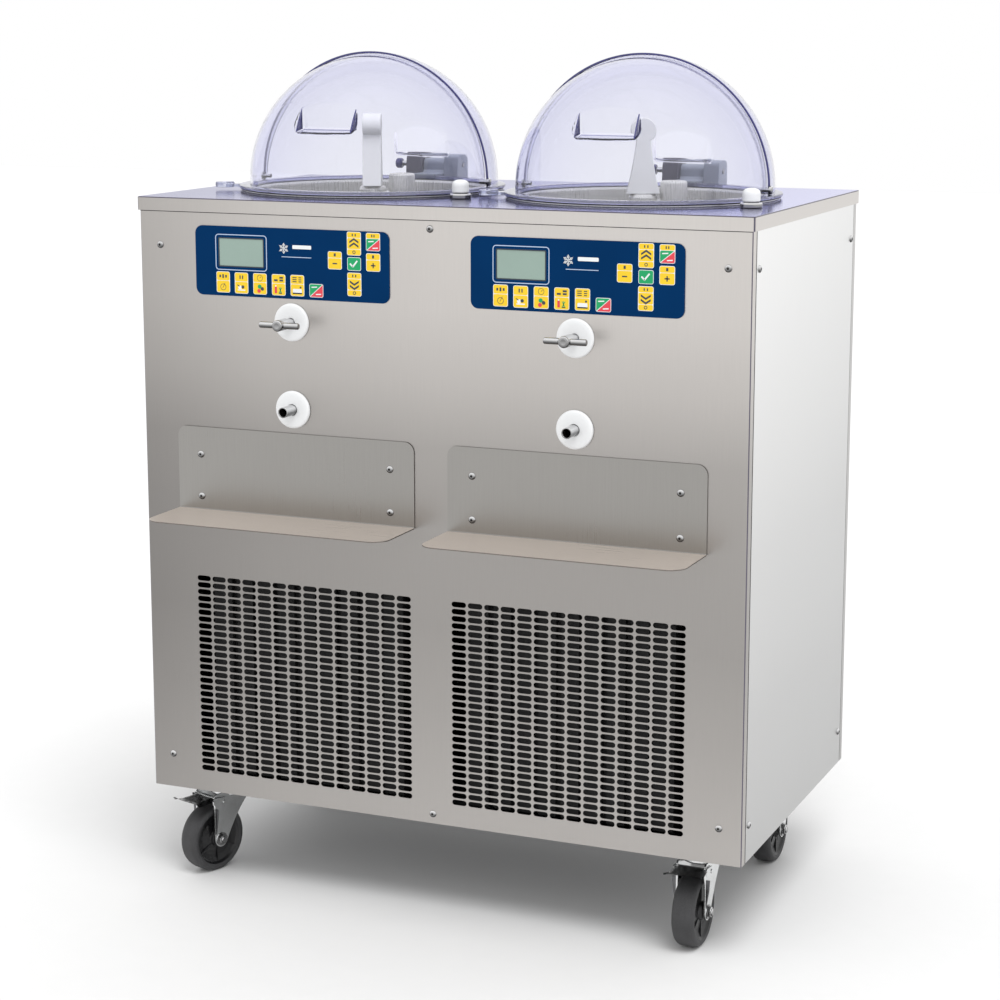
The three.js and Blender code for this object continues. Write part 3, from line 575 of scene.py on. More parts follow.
def folded_panel(y_face, lo, hi, holes, inward):
    """A flat panel in an XZ plane with holes, and rounded folds and returns at its sides."""
    x_in = hi.x - FOLD
    bm = bmesh.new()
    filled(bm, [(-x_in, lo.z), (x_in, lo.z), (x_in, hi.z), (-x_in, hi.z)], holes,
           lambda u, v: Vector((u, y_face, v)))
    for side in (-1, 1):
        path = [(x_in + FOLD * sin(radians(15 * i)), FOLD * (1 - cos(radians(15 * i))))
                for i in range(7)] + [(x_in + FOLD, RETURN)]
        skin(bm, [[bm.verts.new((side * x, y_face + inward * y, z)) for z in (lo.z, hi.z)]
                  for x, y in path], closed=False)
    merged(bm)
    return bm


def front_sheet():
    holes = [stadium(left + column * SLOT_PITCH_X, GRILLE_LOW_Z + row * SLOT_PITCH_Z, SLOT_W,
                     SLOT_H, 5)
             for left in GRILLE_LEFT_X for row in range(SLOT_ROWS) for column in range(SLOT_COLUMNS)]
    for name in SIDES:
        for label, r in (("tap_disc", 6.6), ("spout_disc", 8.0)):
            centre = middle(f"{name}_{label}")
            holes.append(circle(centre.x, centre.z, r, 24))
    bm = folded_panel(FACE_Y, FRONT_LO, FRONT_HI, holes, 1)
    outwards(bm)
    # The middle of each side fold takes the painted dark reflection line.
    for f in bm.faces:
        f.material_index = int(0.45 < abs(f.normal.x) < 0.9)
    thicken(emit("front_sheet", bm, [STEEL_FRONT_PAINTED_SHADE, BEND_PAINTED_REFLECTION], ["front_panel"], 20,
                 facing=(0, -1, 0)), SHEET)


LOUVRE_W, LOUVRE_H, LOUVRE_PITCH, LOUVRE_RISE = 90, 9, 20, 5.0
LOUVRE_COLUMNS = [side * x for side in (-1, 1) for x in (85, 205, 325)]
LOUVRE_ROWS = [REAR_LO.z + 90 + i * LOUVRE_PITCH for i in range(14)]


def rear_sheet():
    """The rear panel, its pressed louvres, and a dark sheet behind them that is painted shade for
    the dark inside.
    """
    spots = [(x, z) for x in LOUVRE_COLUMNS for z in LOUVRE_ROWS]
    holes = [rounded(x, z, LOUVRE_W, LOUVRE_H, 2, 2) for x, z in spots]
    bm = folded_panel(REAR_HI.y, REAR_LO, REAR_HI, holes, -1)
    thicken(emit("rear_sheet", bm, STEEL_REAR_PAINTED_SHADE, ["rear_panel"], 20,
                 facing=(0, 1, 0)), SHEET)
    # Painted shade: a dark sheet behind the louvres stands for the dark inside.
    bm = bmesh.new()
    low, high = LOUVRE_ROWS[0] - 15, LOUVRE_ROWS[-1] + 15
    prism(bm, [(-390, low), (390, low), (390, high), (-390, high)],
          lambda u, v, w: Vector((u, REAR_HI.y - w, v)), 5, 6.5)
    emit("louvre_shade_sheet", bm, BLACK_FINS_AND_PAINTED_SHADE)
    bm = bmesh.new()
    for x, z in spots:
        grid = []
        for u in (-1 + i / 6 for i in range(13)):
            bulge = LOUVRE_RISE * (1 - abs(u) ** 6) ** 0.5
            grid.append([bm.verts.new((x + u * LOUVRE_W / 2 * 1.02,
                                       REAR_HI.y + bulge * sin(t * pi / 2),
                                       z + LOUVRE_H * (0.62 - 1.14 * t)))
                         for t in (0, 0.25, 0.5, 0.75, 1)])
        skin(bm, grid, closed=False)
    thicken(emit("rear_louvres", bm, LOUVRE_STEEL, (), 50, facing=(0, 1, 0)), 0.8)


def side_sheets():
    """Flat side panels whose upright edges tuck in behind the front and rear returns."""
    for name, outward in zip(SIDES, (-1, 1)):
        lo, hi = box(f"{name}_side_panel")
        face_x = lo.x if outward < 0 else hi.x
        y_low, y_high = lo.y + TUCK, hi.y - TUCK
        turns = [radians(22.5 * i) for i in range(5)]
        rows = [(face_x - outward * TUCK * (1 - sin(a)), y_low - TUCK * cos(a)) for a in turns]
        rows += [(face_x, y_low + (y_high - y_low) * i / 8) for i in range(1, 8)]
        rows += [(face_x - outward * TUCK * (1 - cos(a)), y_high + TUCK * sin(a)) for a in turns]
        bm = bmesh.new()
        skin(bm, [[bm.verts.new((x, y, z)) for z in (lo.z, hi.z)] for x, y in rows], closed=False)
        thicken(emit(f"{name}_side_sheet", bm, STEEL_SIDE_PAINTED_LIGHT, [f"{name}_side_panel"], 20,
                     facing=(outward, 0, 0)), 1.0)


COVER_BEND = 1.8
COVER_CORNER = 5.0
VAT_HOLE_R = 177


def top_sheet():
    """The top cover: a flat sheet with two vat holes, a rounded bend and a skirt all round."""
    rim, away = [], []
    for sx, sy, start in ((-1, -1, 180), (1, -1, 270), (1, 1, 0), (-1, 1, 90)):
        corner = Vector((sx * ((COVER_HI.x - COVER_LO.x) / 2 - COVER_CORNER),
                         (COVER_HI.y + COVER_LO.y) / 2 +
                         sy * ((COVER_HI.y - COVER_LO.y) / 2 - COVER_CORNER)))
        for a in (radians(start + 15 * i) for i in range(7)):
            away.append(Vector((cos(a), sin(a))))
            rim.append(corner + away[-1] * (COVER_CORNER - COVER_BEND))
    vats = [middle(f"{name}_vat") for name in SIDES]
    bm = bmesh.new()
    filled(bm, rim, [circle(vat.x, vat.y, VAT_HOLE_R, 96) for vat in vats],
           lambda u, v: Vector((u, v, TOP_Z)))
    levels = [(COVER_BEND * sin(a), TOP_Z - COVER_BEND * (1 - cos(a)))
              for a in (radians(15 * i) for i in range(7))] + [(COVER_BEND, COVER_LO.z)]
    skin(bm, [[bm.verts.new((*(p + n * out), z)) for p, n in zip(rim, away)] for out, z in levels])
    merged(bm)
    outwards(bm, (0, 0, 1))
    # The cover's rounded bend takes the painted dark reflection line.
    for f in bm.faces:
        bend = f.normal.z > 0.2 or abs(f.normal.x * f.normal.y) > 0.45
        f.material_index = 0 if f.normal.z > 0.97 else 2 if bend else 1
    thicken(emit("top_sheet", bm, [STEEL_COVER_PAINTED_REFLECTION, STEEL_FRONT_PAINTED_SHADE, BEND_PAINTED_REFLECTION],
                 ["top_cover"], 30, facing=(0, 0, 1)), SHEET)


def shadow_gap_lines():
    """Painted shadow: dark strips in the gap under the cover's skirt, and where the front meets each
    side.
    """
    bm = bmesh.new()
    edge, low, high = FRONT_HI.x - 1.5, COVER_LO.z - 1.2, COVER_LO.z + 0.6
    prism(bm, [(-edge, low), (edge, low), (edge, high), (-edge, high)],
          lambda u, v, w: Vector((u, FACE_Y - w, v)), -0.3, 0.45)
    y_low, y_high = FRONT_HI.y - 0.3, FRONT_HI.y + 1.0
    for side in (-1, 1):
        x0, x1 = side * (FRONT_HI.x - 0.4), side * (FRONT_HI.x + 0.3)
        prism(bm, [(x0, y_low), (x1, y_low), (x1, y_high), (x0, y_high)], flat, FRONT_LO.z,
              COVER_LO.z)
    emit("shadow_gap_lines", bm, GASKET)


def cabinet_screws():
    bm = bmesh.new()
    spots = [(side * 417.5, z) for side in (-1, 1) for z in (931, 185)] + [(0, 967), (0, 149)]
    for spin, (x, z) in enumerate(spots, 1):
        screw(bm, moved(x, FACE_Y, z, "front"), spin * 0.7)
        screw(bm, moved(x, REAR_HI.y, z, "rear"), spin * 1.1)
    spots = [(side, y, z) for side in SIDES for y in (-228, 228) for z in (929, 185)]
    for spin, (side, y, z) in enumerate(spots, 7):
        x = FRONT_HI.x if side == "right" else -FRONT_HI.x
        screw(bm, moved(x, CENTRE_Y + y, z, side), spin * 0.9)
    emit("cabinet_screws", bm, [CHROME, BORE_PAINTED_SHADE])


# ---------------------------------------------------------------- shelves
SHELF_BEND = 3.0
SHELF_SCREW_X, SHELF_SCREWS_Z = 148.5, (635.4, 575.0)


def shelf(name):
    """One bent sheet: a tray with rounded front corners and a back with rounded top corners."""
    lo, hi = box(f"{name}_shelf")
    width, centre_x = hi.x - lo.x, (hi.x + lo.x) / 2
    tray, back = hi.y - lo.y - SHELF_BEND, hi.z - lo.z - SHELF_BEND
    bend = SHELF_BEND * pi / 2
    total = tray + bend + back
    cuts = [tray + bend * i / 6 for i in range(7)] + [tray * 0.4, tray * 0.7]

    def bent(u, v):
        if v < tray:
            return Vector((centre_x + u, lo.y + v, lo.z))
        if v > tray + bend:
            return Vector((centre_x + u, hi.y, lo.z + SHELF_BEND + v - tray - bend))
        a = (v - tray) / SHELF_BEND
        return Vector((centre_x + u, lo.y + tray + SHELF_BEND * sin(a),
                       lo.z + SHELF_BEND * (1 - cos(a))))

    bm = bmesh.new()
    filled(bm, rounded(0, total / 2, width, total, (24, 24, 14, 14), 8), [], bent,
           [((-width / 2, v), (width / 2, v)) for v in cuts])
    outwards(bm)
    for f in bm.faces:
        f.material_index = int(abs(f.normal.z) > 0.8)
    # The sheet's rim takes the dark edge steel, a painted shadow line round the shelf.
    thicken(emit(f"{name}_shelf_sheet", bm, [STEEL_SHELF_PAINTED_SHADE, STEEL_TRAY_PAINTED_REFLECTION, STEEL_EDGE_PAINTED_SHADE, STEEL_EDGE_PAINTED_SHADE],
                 [f"{name}_shelf"], 25, facing=(0, -1, 1)), SHEET, 1.0, 2)
    bm = bmesh.new()
    for side in (-1, 1):
        for z in SHELF_SCREWS_Z:
            screw(bm, moved(centre_x + side * SHELF_SCREW_X, hi.y - SHEET, z, "front"),
                  z * 0.04 + side)
    emit(f"{name}_shelf_screws", bm, [CHROME, BORE_PAINTED_SHADE])


# ---------------------------------------------------------------- discs, taps and spouts
def disc(name, label, hole):
    lo, hi = box(f"{name}_{label}")
    centre = (lo + hi) / 2
    r, thick = (hi.x - lo.x) / 2, hi.y - lo.y
    profile = [(hole, thick * 0.2), (hole, thick * 0.88), (hole + 0.8, thick), (r - 6, thick),
               (r - 1.6, thick - 0.5), (r, thick - 2.4), (r, 0.0), (hole + 1, 0.0)]
    bm = bmesh.new()
    lathe(bm, rounded_profile(profile, 1.2), moved(centre.x, hi.y, centre.z, "front"), 64)
    emit(f"{name}_{label}_turned", bm, WHITE, [f"{name}_{label}"])


def tap(name):
    lo, hi = box(f"{name}_tap_handle")
    pivot = middle(f"{name}_tap_disc")
    bar_y, half = lo.y + 8.0, (hi.x - lo.x) / 2
    reach = hi.y - bar_y
    stem = [(0, 0.0), (6, 0.0), (6, reach - 6), (4.8, reach - 4), (0, reach - 4)]
    hub = [(0, -18), (7.2, -18), (8, -17), (8, 6), (7, 7.6), (4.2, 8), (0, 7.4)]
    bar = [(0, -half), (3.6, -half), (4.5, 1.2 - half), (4.5, -9), (4.1, -8.6), (4.1, 8.6),
           (4.5, 9), (4.5, half - 1.2), (3.6, half), (0, half)]
    bm = bmesh.new()
    lathe(bm, stem, moved(pivot.x, hi.y, pivot.z, "front"), 32)
    lathe(bm, rounded_profile(hub, 0.8), moved(pivot.x, bar_y, pivot.z, "front"), 36)
    lathe(bm, rounded_profile(bar, 0.6), moved(pivot.x, bar_y, pivot.z, "right"), 32)
    emit(f"{name}_tap_tee", bm, CHROME, [f"{name}_tap_handle"], body=f"{name}_tap")


def spout(name):
    lo, hi = box(f"{name}_spout")
    length, r = hi.y - lo.y, (hi.x - lo.x) / 2
    bore = r - 1.5
    outer = [(r, 0.0), (r, length - 0.5), (r - 0.5, length), (bore + 0.3, length),
             (bore, length - 0.4)]
    place = moved((lo.x + hi.x) / 2, hi.y, (lo.z + hi.z) / 2, "front")
    bm = bmesh.new()
    lathe(bm, outer, place, 40)
    lathe(bm, [outer[-1], (bore, 0.0), outer[0]], place, 40, 1)
    merged(bm)
    emit(f"{name}_spout_tube", bm, [CHROME, BORE_PAINTED_SHADE], [f"{name}_spout"])


# ---------------------------------------------------------------- key panels
KEY_RISE = 0.35
KEY_CORNER = 2.6
KEY_RIM = 0.7
KEY_W = 21.2
YELLOW_KEYS = ((-106.6, -29.4), (-77.7, -29.8), (-48.5, -29.7), (-19.3, -29.8), (9.8, -29.6))
KEY_COLOURS = {"navy": NAVY, "yellow": YELLOW, "green": GREEN, "red": RED, "white": PRINT_WHITE,
               "dark": PRINT_DARK, "pale": PRINT_PALE}
MARK_LOW, MARK_HIGH = KEY_RISE - 0.05, KEY_RISE + 0.06


class Face:
    """Draws raised areas and marks on a panel's front."""

    def __init__(self, bm, origin):
        self.bm = bm
        self.place = front_plane(origin)

    def area(self, points, colour, low, high):
        prism(self.bm, points, self.place, low, high, list(KEY_COLOURS).index(colour))

    def tile(self, x, z, width, height, colour, high, corner=KEY_CORNER):
        self.area(rounded(x, z, width, height, corner, 5), colour, 0.0, high)

    def rim(self, x, z, width, height):
        """The white print that shows as an outline round a key."""
        self.tile(x, z, width, height, "white", KEY_RISE * 0.7)

    def key(self, x, z, width, height, colour):
        self.rim(x, z, width, height)
        self.tile(x, z, width - 2 * KEY_RIM, height - 2 * KEY_RIM, colour, KEY_RISE,
                  KEY_CORNER - KEY_RIM)

    def stack(self, x, z, width, parts):
        """A white outline with tiles one under the other; parts are (height, colour)."""
        height = sum(h for h, _ in parts) + KEY_RIM * (len(parts) + 1)
        self.rim(x, z, width, height)
        top = z + height / 2 - KEY_RIM
        middles = []
        for h, colour in parts:
            middles.append(top - h / 2)
            if colour:
                self.tile(x, middles[-1], width - 2 * KEY_RIM, h, colour, KEY_RISE,
                          KEY_CORNER - KEY_RIM)
            top -= h + KEY_RIM
        return middles

    def mark(self, points, x, z, colour):
        self.area([(x + u, z + v) for u, v in points], colour, MARK_LOW, MARK_HIGH)

    def dot(self, x, z, r, colour):
        self.mark(circle(0, 0, r, 14), x, z, colour)

    def ring(self, x, z, r_out, r_in, colour, count=20):
        outer, inner = circle(x, z, r_out, count), circle(x, z, r_in, count)
        skin(self.bm, [placed(self.bm, loop, self.place, w) for loop, w in
                       ((outer, MARK_LOW), (outer, MARK_HIGH), (inner, MARK_HIGH),
                        (inner, MARK_LOW))],
             looped=True, mat=list(KEY_COLOURS).index(colour))

    def bar(self, x, z, length, thick, angle, colour):
        c, s, w, h = cos(radians(angle)), sin(radians(angle)), length / 2, thick / 2
        self.mark([(u * c - v * s, u * s + v * c) for u, v in ((-w, -h), (w, -h), (w, h), (-w, h))],
                  x, z, colour)

    def chevron(self, x, z, width, rise, thick, up, colour):
        flip = 1 if up else -1
        w = width / 2
        points = [(-w, 0), (0, rise), (w, 0), (w, thick), (0, rise + thick), (-w, thick)]
        self.mark([(u, v * flip) for u, v in points][::flip], x, z, colour)

    def flake(self, x, z, r, colour, thick):
        for turn in (30, 90, 150):
            self.bar(x, z, 2 * r, thick, turn, colour)
            for end in (-0.62 * r, 0.62 * r):
                for tilt in (-60, 60):
                    self.bar(x + end * cos(radians(turn)), z + end * sin(radians(turn)), r * 0.5,
                             thick, turn + tilt, colour)


def split_tile(face, x, z, width, height):
    """A tile cut on the slant, green above and red below, with a start and a stop mark."""
    w, h = width / 2, height / 2
    gap = 0.45
    slope, cut = h / w, gap * 1.6
    corner = rounded(x, z, width, height, KEY_CORNER - KEY_RIM, 5)
    for colour, sign, ends in (
            ("green", 1, [(x - w, z - h + cut), (x + w - cut / slope, z + h)]),
            ("red", -1, [(x - w + cut / slope, z - h), (x + w, z + h - cut)])):
        points = [(u, v) for u, v in corner if sign * ((v - z) - slope * (u - x)) > gap] + ends
        mid_u, mid_v = (sum(values) / len(points) for values in zip(*points))
        points.sort(key=lambda p: atan2(p[1] - mid_v, p[0] - mid_u))
        face.area(points, colour, 0.0, KEY_RISE)
    face.bar(x - w * 0.30, z + h * 0.55, w * 0.85, 1.5, 4, "white")
    face.bar(x + w * 0.34, z - h * 0.58, w * 0.80, 1.5, 4, "white")


def split_key(face, x, z, width, height):
    face.rim(x, z, width, height)
    split_tile(face, x, z, width - 2 * KEY_RIM, height - 2 * KEY_RIM)


def key_icons(face, index, x, top, low):
    """The upper and lower marks of the five two-part yellow keys; none of them is a letter."""
    if index == 0:
        for k in (-1, 0, 1):
            face.bar(x + k * 4.6, top, 2.6, 5.2 - 1.6 * abs(k), 0, "dark")
        face.ring(x, low - 0.8, 4.6, 3.9, "dark", 24)
        face.bar(x + 1.0, low + 1.4, 7.6, 0.7, 62, "dark")
    elif index == 1:
        for k in (-1, 1):
            face.bar(x + k * 2.0, top, 5.0, 1.8, 90, "dark")
        face.dot(x - 2.4, low, 2.8, "white")
        face.dot(x + 2.2, low + 0.8, 2.4, "dark")
        face.bar(x, low - 3.6, 12.0, 1.6, 0, "white")
        face.bar(x - 4.8, low + 2.6, 4.0, 1.2, -30, "dark")
    elif index == 2:
        face.ring(x, top, 4.4, 3.8, "dark", 20)
        face.bar(x + 0.9, top + 0.9, 2.6, 0.7, 45, "dark")
        face.dot(x - 0.6, low + 2.4, 3.0, "green")
        face.dot(x + 3.6, low - 0.6, 2.6, "dark")
        face.dot(x - 1.6, low - 3.6, 2.8, "red")
    elif index == 3:
        for u, v in ((-1, -1), (1, -1), (1, 1)):
            face.bar(x + u * 4.2, top + v * 1.9, 5.6, 2.6, 0, "dark")
        face.bar(x - 4.4, low - 1.0, 3.6, 9.0, 0, "red")
        face.bar(x - 4.4, low + 4.4, 1.8, 2.0, 0, "white")
        for tilt in (60, 90, 120):
            face.bar(x + 2.6, low - 1.2, 8.6, 0.9, tilt, "green")
        face.bar(x + 2.6, low - 5.4, 5.0, 1.2, 0, "dark")
    else:
        for u in (-1, 1):
            for v in (-1, 0, 1):
                face.bar(x + u * 4.2, top + v * 2.8, 5.4 - u, 1.3, 0, "dark")
        face.mark(rounded(0, 0, 14.0, 6.4, 1.2, 3), x, low - 1.6, "white")
        face.bar(x, low - 4.6, 14.6, 1.8, 0, "dark")
        face.bar(x + 5.0, low + 3.8, 2.6, 2.6, 0, "dark")


def key_marks(face, x, z, width):
    for u in (-width / 2, width / 2):
        face.bar(x + u, z, 1.7, 3.4, 0, "dark")


def overlay_keys(name, centre):
    """The raised keys and the marks on one panel; the lettering of the real one is left out."""
    bm = bmesh.new()
    face = Face(bm, centre)
    for index, (x, z) in enumerate(YELLOW_KEYS):
        top, low = face.stack(x, z, KEY_W, [(11.6, "yellow"), (15.6, "yellow")])
        key_icons(face, index, x, top, low)
    split_key(face, 39.0, -35.3, 21.3, 18.5)
    x = 97.3
    for z, up in ((31.4, True), (-24.3, False)):
        top, mid, low = face.stack(x, z, KEY_W, [(h, "yellow") for h in (7.4, 14.6, 7.4)])
        key_marks(face, x, top, 4.4)
        face.ring(x, low, 2.4, 1.4, "dark", 16)
        for k in (-1, 1):
            face.chevron(x, mid + (k * 2.9 - (2.6 if up else -2.6)), 13.8, 4.4, 2.9, up, "dark")
    x = 126.1
    top, low = face.stack(x, 34.6, KEY_W, [(6.8, "yellow"), (15.6, None)])
    key_marks(face, x, top, 3.4)
    split_tile(face, x, low, KEY_W - 2 * KEY_RIM, 15.6)
    for x, z, turns in ((68.0, 7.5, (0,)), (126.1, 6.9, (0, 90))):
        top, low = face.stack(x, z, KEY_W, [(8.0, "yellow"), (14.4, "yellow")])
        face.bar(x, top, 3.0, 4.2, 0, "dark")
        for turn in turns:
            face.bar(x, low, 7.0, 1.8, turn, "dark")
    face.key(97.3, 3.7, 20.7, 18.3, "green")
    face.bar(93.2, 2.0, 6.0, 2.2, -45, "white")
    face.bar(98.6, 3.9, 11.0, 2.2, 50, "white")
    face.flake(-10.5, 21.0, 7.4, "white", 1.1)
    face.mark(rounded(0, 0, 29, 5.2, 1.0, 2), 17.5, 23.4, "white")
    face.mark(rounded(0, 0, 46, 1.0, 0.4, 2), 9.0, 9.4, "pale")
    emit(f"{name}_keys", bm, list(KEY_COLOURS.values()), (), 25)


def key_panel(name):
    lo, hi = box(f"{name}_control_panel")
    centre = Vector(((lo.x + hi.x) / 2, lo.y, (lo.z + hi.z) / 2))
    plane = front_plane(centre)
    window_lo, window_hi = box(f"{name}_display")
    window_w, window_h = window_hi.x - window_lo.x, window_hi.z - window_lo.z
    window_x = (window_lo.x + window_hi.x) / 2 - centre.x
    window_z = (window_lo.z + window_hi.z) / 2 - centre.z

    def window(grow, radius, steps):
        return rounded(window_x, window_z, window_w + grow, window_h + grow, radius, steps)

    bm = bmesh.new()
    filled(bm, rounded(0, 0, hi.x - lo.x, hi.z - lo.z, 11, 10), [window(0.8, 1.5, 4)], plane)
    panel = emit(f"{name}_key_panel", bm, NAVY, [f"{name}_control_panel"],
                 facing=(0, -1, 0))
    thicken(panel, hi.y - lo.y)
    soften(panel, 0.4, 2, 60)
    overlay_keys(name, centre)

    # The display: a pale printed outline, a dark bezel and the blank glass, wound to face outwards
    bm = bmesh.new()
    outline = [(rounded(window_x, window_z, 81 - 2 * t, 50 - 2 * t, 5 - t, 6), w)
               for t, w in ((0.0, 0.0), (0.0, 0.3), (1.2, 0.3), (1.2, 0.0))]
    skin(bm, [placed(bm, loop, plane, w) for loop, w in outline], looped=True)
    outer, inner = window(1.4, 2.0, 5), window(-1.6, 0.8, 5)
    skin(bm, [placed(bm, loop, plane, w)
              for loop, w in ((outer, 0.0), (outer, 0.15), (inner, 0.15), (inner, -0.6))], mat=1)
    bm.faces.new(placed(bm, inner, plane, -0.35)).material_index = 2
    emit(f"{name}_screen", bm, [PRINT_PALE, LCD_EDGE, LCD], [f"{name}_display"], 25,
         facing=AS_BUILT)


# ---------------------------------------------------------------- vats, agitators and grips
VAT_R, VAT_WALL, RIM_R, RIM = 172, 4, 191, 3
FLANGE_R, FLANGE = 195, 5
DOME_OUT_R, DOME_WALL, DOME_IN_R = 184, 2.5, 178.9


def vat(name):
    lo, hi = box(f"{name}_vat")
    centre = (lo + hi) / 2
    floor, under, wall, hole = lo.z + VAT_WALL, hi.z - RIM, VAT_R + VAT_WALL, 14
    profile = [(hole, lo.z), (wall - 12, lo.z), (wall, lo.z + 12), (wall, under), (RIM_R, under),
               (RIM_R, hi.z), (VAT_R, hi.z), (VAT_R, floor + 14), (VAT_R - 14, floor),
               (hole, floor)]
    bm = bmesh.new()
    lathe(bm, rounded_profile(profile, 5, 4), moved(centre.x, centre.y), 96)
    emit(f"{name}_vat_bowl", bm, STEEL_VAT, [f"{name}_vat"])
    gasket = [(VAT_R + 2, hi.z), (VAT_R + 2, hi.z + 0.28), (RIM_R + 1, hi.z + 0.28),
              (RIM_R + 1.6, hi.z - 0.8), (RIM_R + 0.2, hi.z - 1.2), (RIM_R + 0.1, hi.z)]
    bm = bmesh.new()
    lathe(bm, gasket, moved(centre.x, centre.y), 96, closed=True)
    emit(f"{name}_vat_gasket", bm, GASKET)


GRIP_TURNS = {"left": 112, "right": 22}
POST_TURN, POST_OUT = 22, 43


def agitator(name):
    """The hub, three blades that sweep the vat's wall, and a post beside the hub on a bar."""
    lo, hi = box(f"{name}_agitator")
    pivot = pivot_of(f"{name}_mixer_spin")
    centre = moved(pivot.x, pivot.y)
    floor = box(f"{name}_vat")[0].z + VAT_WALL
    hub = [(0, lo.z), (12.5, lo.z), (13, lo.z + 1), (13, floor), (20, floor), (20, hi.z - 62),
           (18, hi.z - 60), (18, hi.z - 30), (20, hi.z - 28), (20, hi.z - 4), (17, hi.z),
           (0, hi.z)]
    bm = bmesh.new()
    lathe(bm, rounded_profile(hub, 1.2), centre, 40)
    reach, low, high, rail, thick = 165, 706, 975, 24, 4
    outline = [(16, low), (reach - 6, low), (reach, low + 6), (reach, high - 5), (reach - 4, high),
               (reach - rail * 0.45, high), (reach - rail * 0.55, high - 6),
               (reach - rail, low + rail * 2.2), (reach - rail * 1.5, low + rail * 1.4),
               (16, low + rail)]
    for turn in (90, 210, 330):
        blade = on(centre @ Matrix.Rotation(radians(turn), 4, "Z"))
        prism(bm, outline, lambda u, v, w: blade(u, w, v), -thick, thick)
    head = hi.z + 18
    across = centre @ Matrix.Rotation(radians(POST_TURN), 4, "Z")
    post = [(0, head - 52), (18, head - 52), (19, head - 50), (19, head - 2), (17, head),
            (13, head), (12.4, head - 2), (0, head - 2.4)]
    lathe(bm, rounded_profile(post, 1.0), across @ moved(POST_OUT, 0), 40)
    prism(bm, [(0, -9), (POST_OUT, -9), (POST_OUT, 9), (0, 9)], on(across), head - 48, head - 26)
    soften(emit(f"{name}_agitator_frame", bm, STEEL_VAT, [f"{name}_agitator"],
                body=f"{name}_mixer"), 0.8, 2, 50)


def grip(name):
    """The white lifting grip: a thick slab with a flared foot, a neck and a round head."""
    lo, hi = box(f"{name}_agitator_grip")
    pivot = pivot_of(f"{name}_mixer_spin")
    place = on(moved(pivot.x, pivot.y, lo.z, turn=radians(GRIP_TURNS[name])))
    height = hi.z - lo.z
    foot, neck, neck_z, head, half_deep = 23, 9.7, 74, 17.5, 13.5
    join = height - head
    shoulder = radians(-38)
    right = [(neck + (foot - neck) * (1 - t) ** 1.35, neck_z * t)
             for t in (i / 16 for i in range(17))]
    right += [(neck + (head * cos(shoulder) - neck) * (1 - cos(pi * t)) / 2,
               neck_z + (join + head * sin(shoulder) - neck_z) * t) for t in (0.2, 0.4, 0.6, 0.8)]
    right += [(head * cos(radians(a)), join + head * sin(radians(a))) for a in range(-38, 90, 8)]
    bm = bmesh.new()
    prism(bm, right + [(0, height)] + [(-u, v) for u, v in right[::-1]],
          lambda u, v, w: place(u, w, v), -half_deep, half_deep)
    # The grip takes the brighter copy of the white acetal, a painted light.
    soften(emit(f"{name}_lifting_grip", bm, GRIP_WHITE_PAINTED_LIGHT,
                [f"{name}_agitator_grip"], 30, f"{name}_mixer"), 3.2, 4, 50)


# ---------------------------------------------------------------- lids
FRONT_POCKET = {"facing": -1, "wall": 138, "floor": 77, "fall": 10 / 62, "half": 42}
REAR_POCKET = {"facing": 1, "wall": 168, "floor": 28, "fall": 4 / 32, "half": 42}


def soft_min(a, b, k):
    h = max(k - abs(a - b), 0.0) / k
    return min(a, b) - h * h * k / 4


def soft_max(a, b, k):
    return -soft_min(-a, -b, k)


def pressed_radius(direction, radius, pocket):
    """How far the pressed shell's outer face is from the dome's centre along a direction."""
    out = direction.y * pocket["facing"]
    if out < 0.05:
        return radius
    to_wall = pocket["wall"] / out
    rise = direction.z + pocket["fall"] * out
    if rise < 0.02:
        return radius
    to_floor = (pocket["floor"] + pocket["wall"] * pocket["fall"]) / rise
    entry = soft_max(to_wall, to_floor, 7)
    pressed = soft_min(radius, entry, 3.5)
    side = (abs(direction.x) * min(entry, radius) - pocket["half"]) / 2.6
    t = min(1.0, max(0.0, side * 0.5 + 0.5))
    t = t * t * (3 - 2 * t)
    return pressed * (1 - t) + radius * t


def spread(marks):
    """Grid angles: a list of (angle, step up to the next stop)."""
    made = []
    for (start, step), (stop, _) in zip(marks, marks[1:]):
        count = max(1, round((stop - start) / step))
        made += [start + (stop - start) * i / count for i in range(count)]
    return made + [marks[-1][0]]


def dome_quarter(name, label, radius, pocket, skirt, rows):
    """A quarter ball about the X axis, with its finger pocket pressed in and a short skirt."""
    centre = pivot_of(f"{name}_front_shell_pivot")
    facing = pocket["facing"]
    across = spread([(4, 4), (70, 2), (74, 0.45), (79, 2.0), (101, 0.45), (106, 2), (110, 4),
                     (176, 4)])
    bm = bmesh.new()
    grid = [[bm.verts.new(centre + Vector((radius * cos(t), facing * radius * sin(t), -drop)))
             for t in (radians(t) for t in (0.0, *across, 180.0))] for drop in skirt]
    poles = [bm.verts.new(centre + Vector((x, 0, 0))) for x in (radius, -radius)]
    for a in (radians(a) for a in spread(rows)):
        row = [poles[0]]
        for t in (radians(t) for t in across):
            direction = Vector((cos(t), facing * sin(t) * cos(a), sin(t) * sin(a)))
            reach = pressed_radius(direction, radius, pocket)
            row.append(bm.verts.new(centre + direction * reach))
        grid.append(row + [poles[1]])
    for a, b in zip(grid, grid[1:]):
        for i in range(len(a) - 1):
            corners = list(dict.fromkeys((a[i], a[i + 1], b[i + 1], b[i])))
            if len(corners) > 2:
                bm.faces.new(corners)
    thicken(emit(f"{name}_{label}_dome", bm, DOME, [f"{name}_lid_{label}"], 75,
                 f"{name}_{label}_shell", (0, facing, 1)), DOME_WALL)


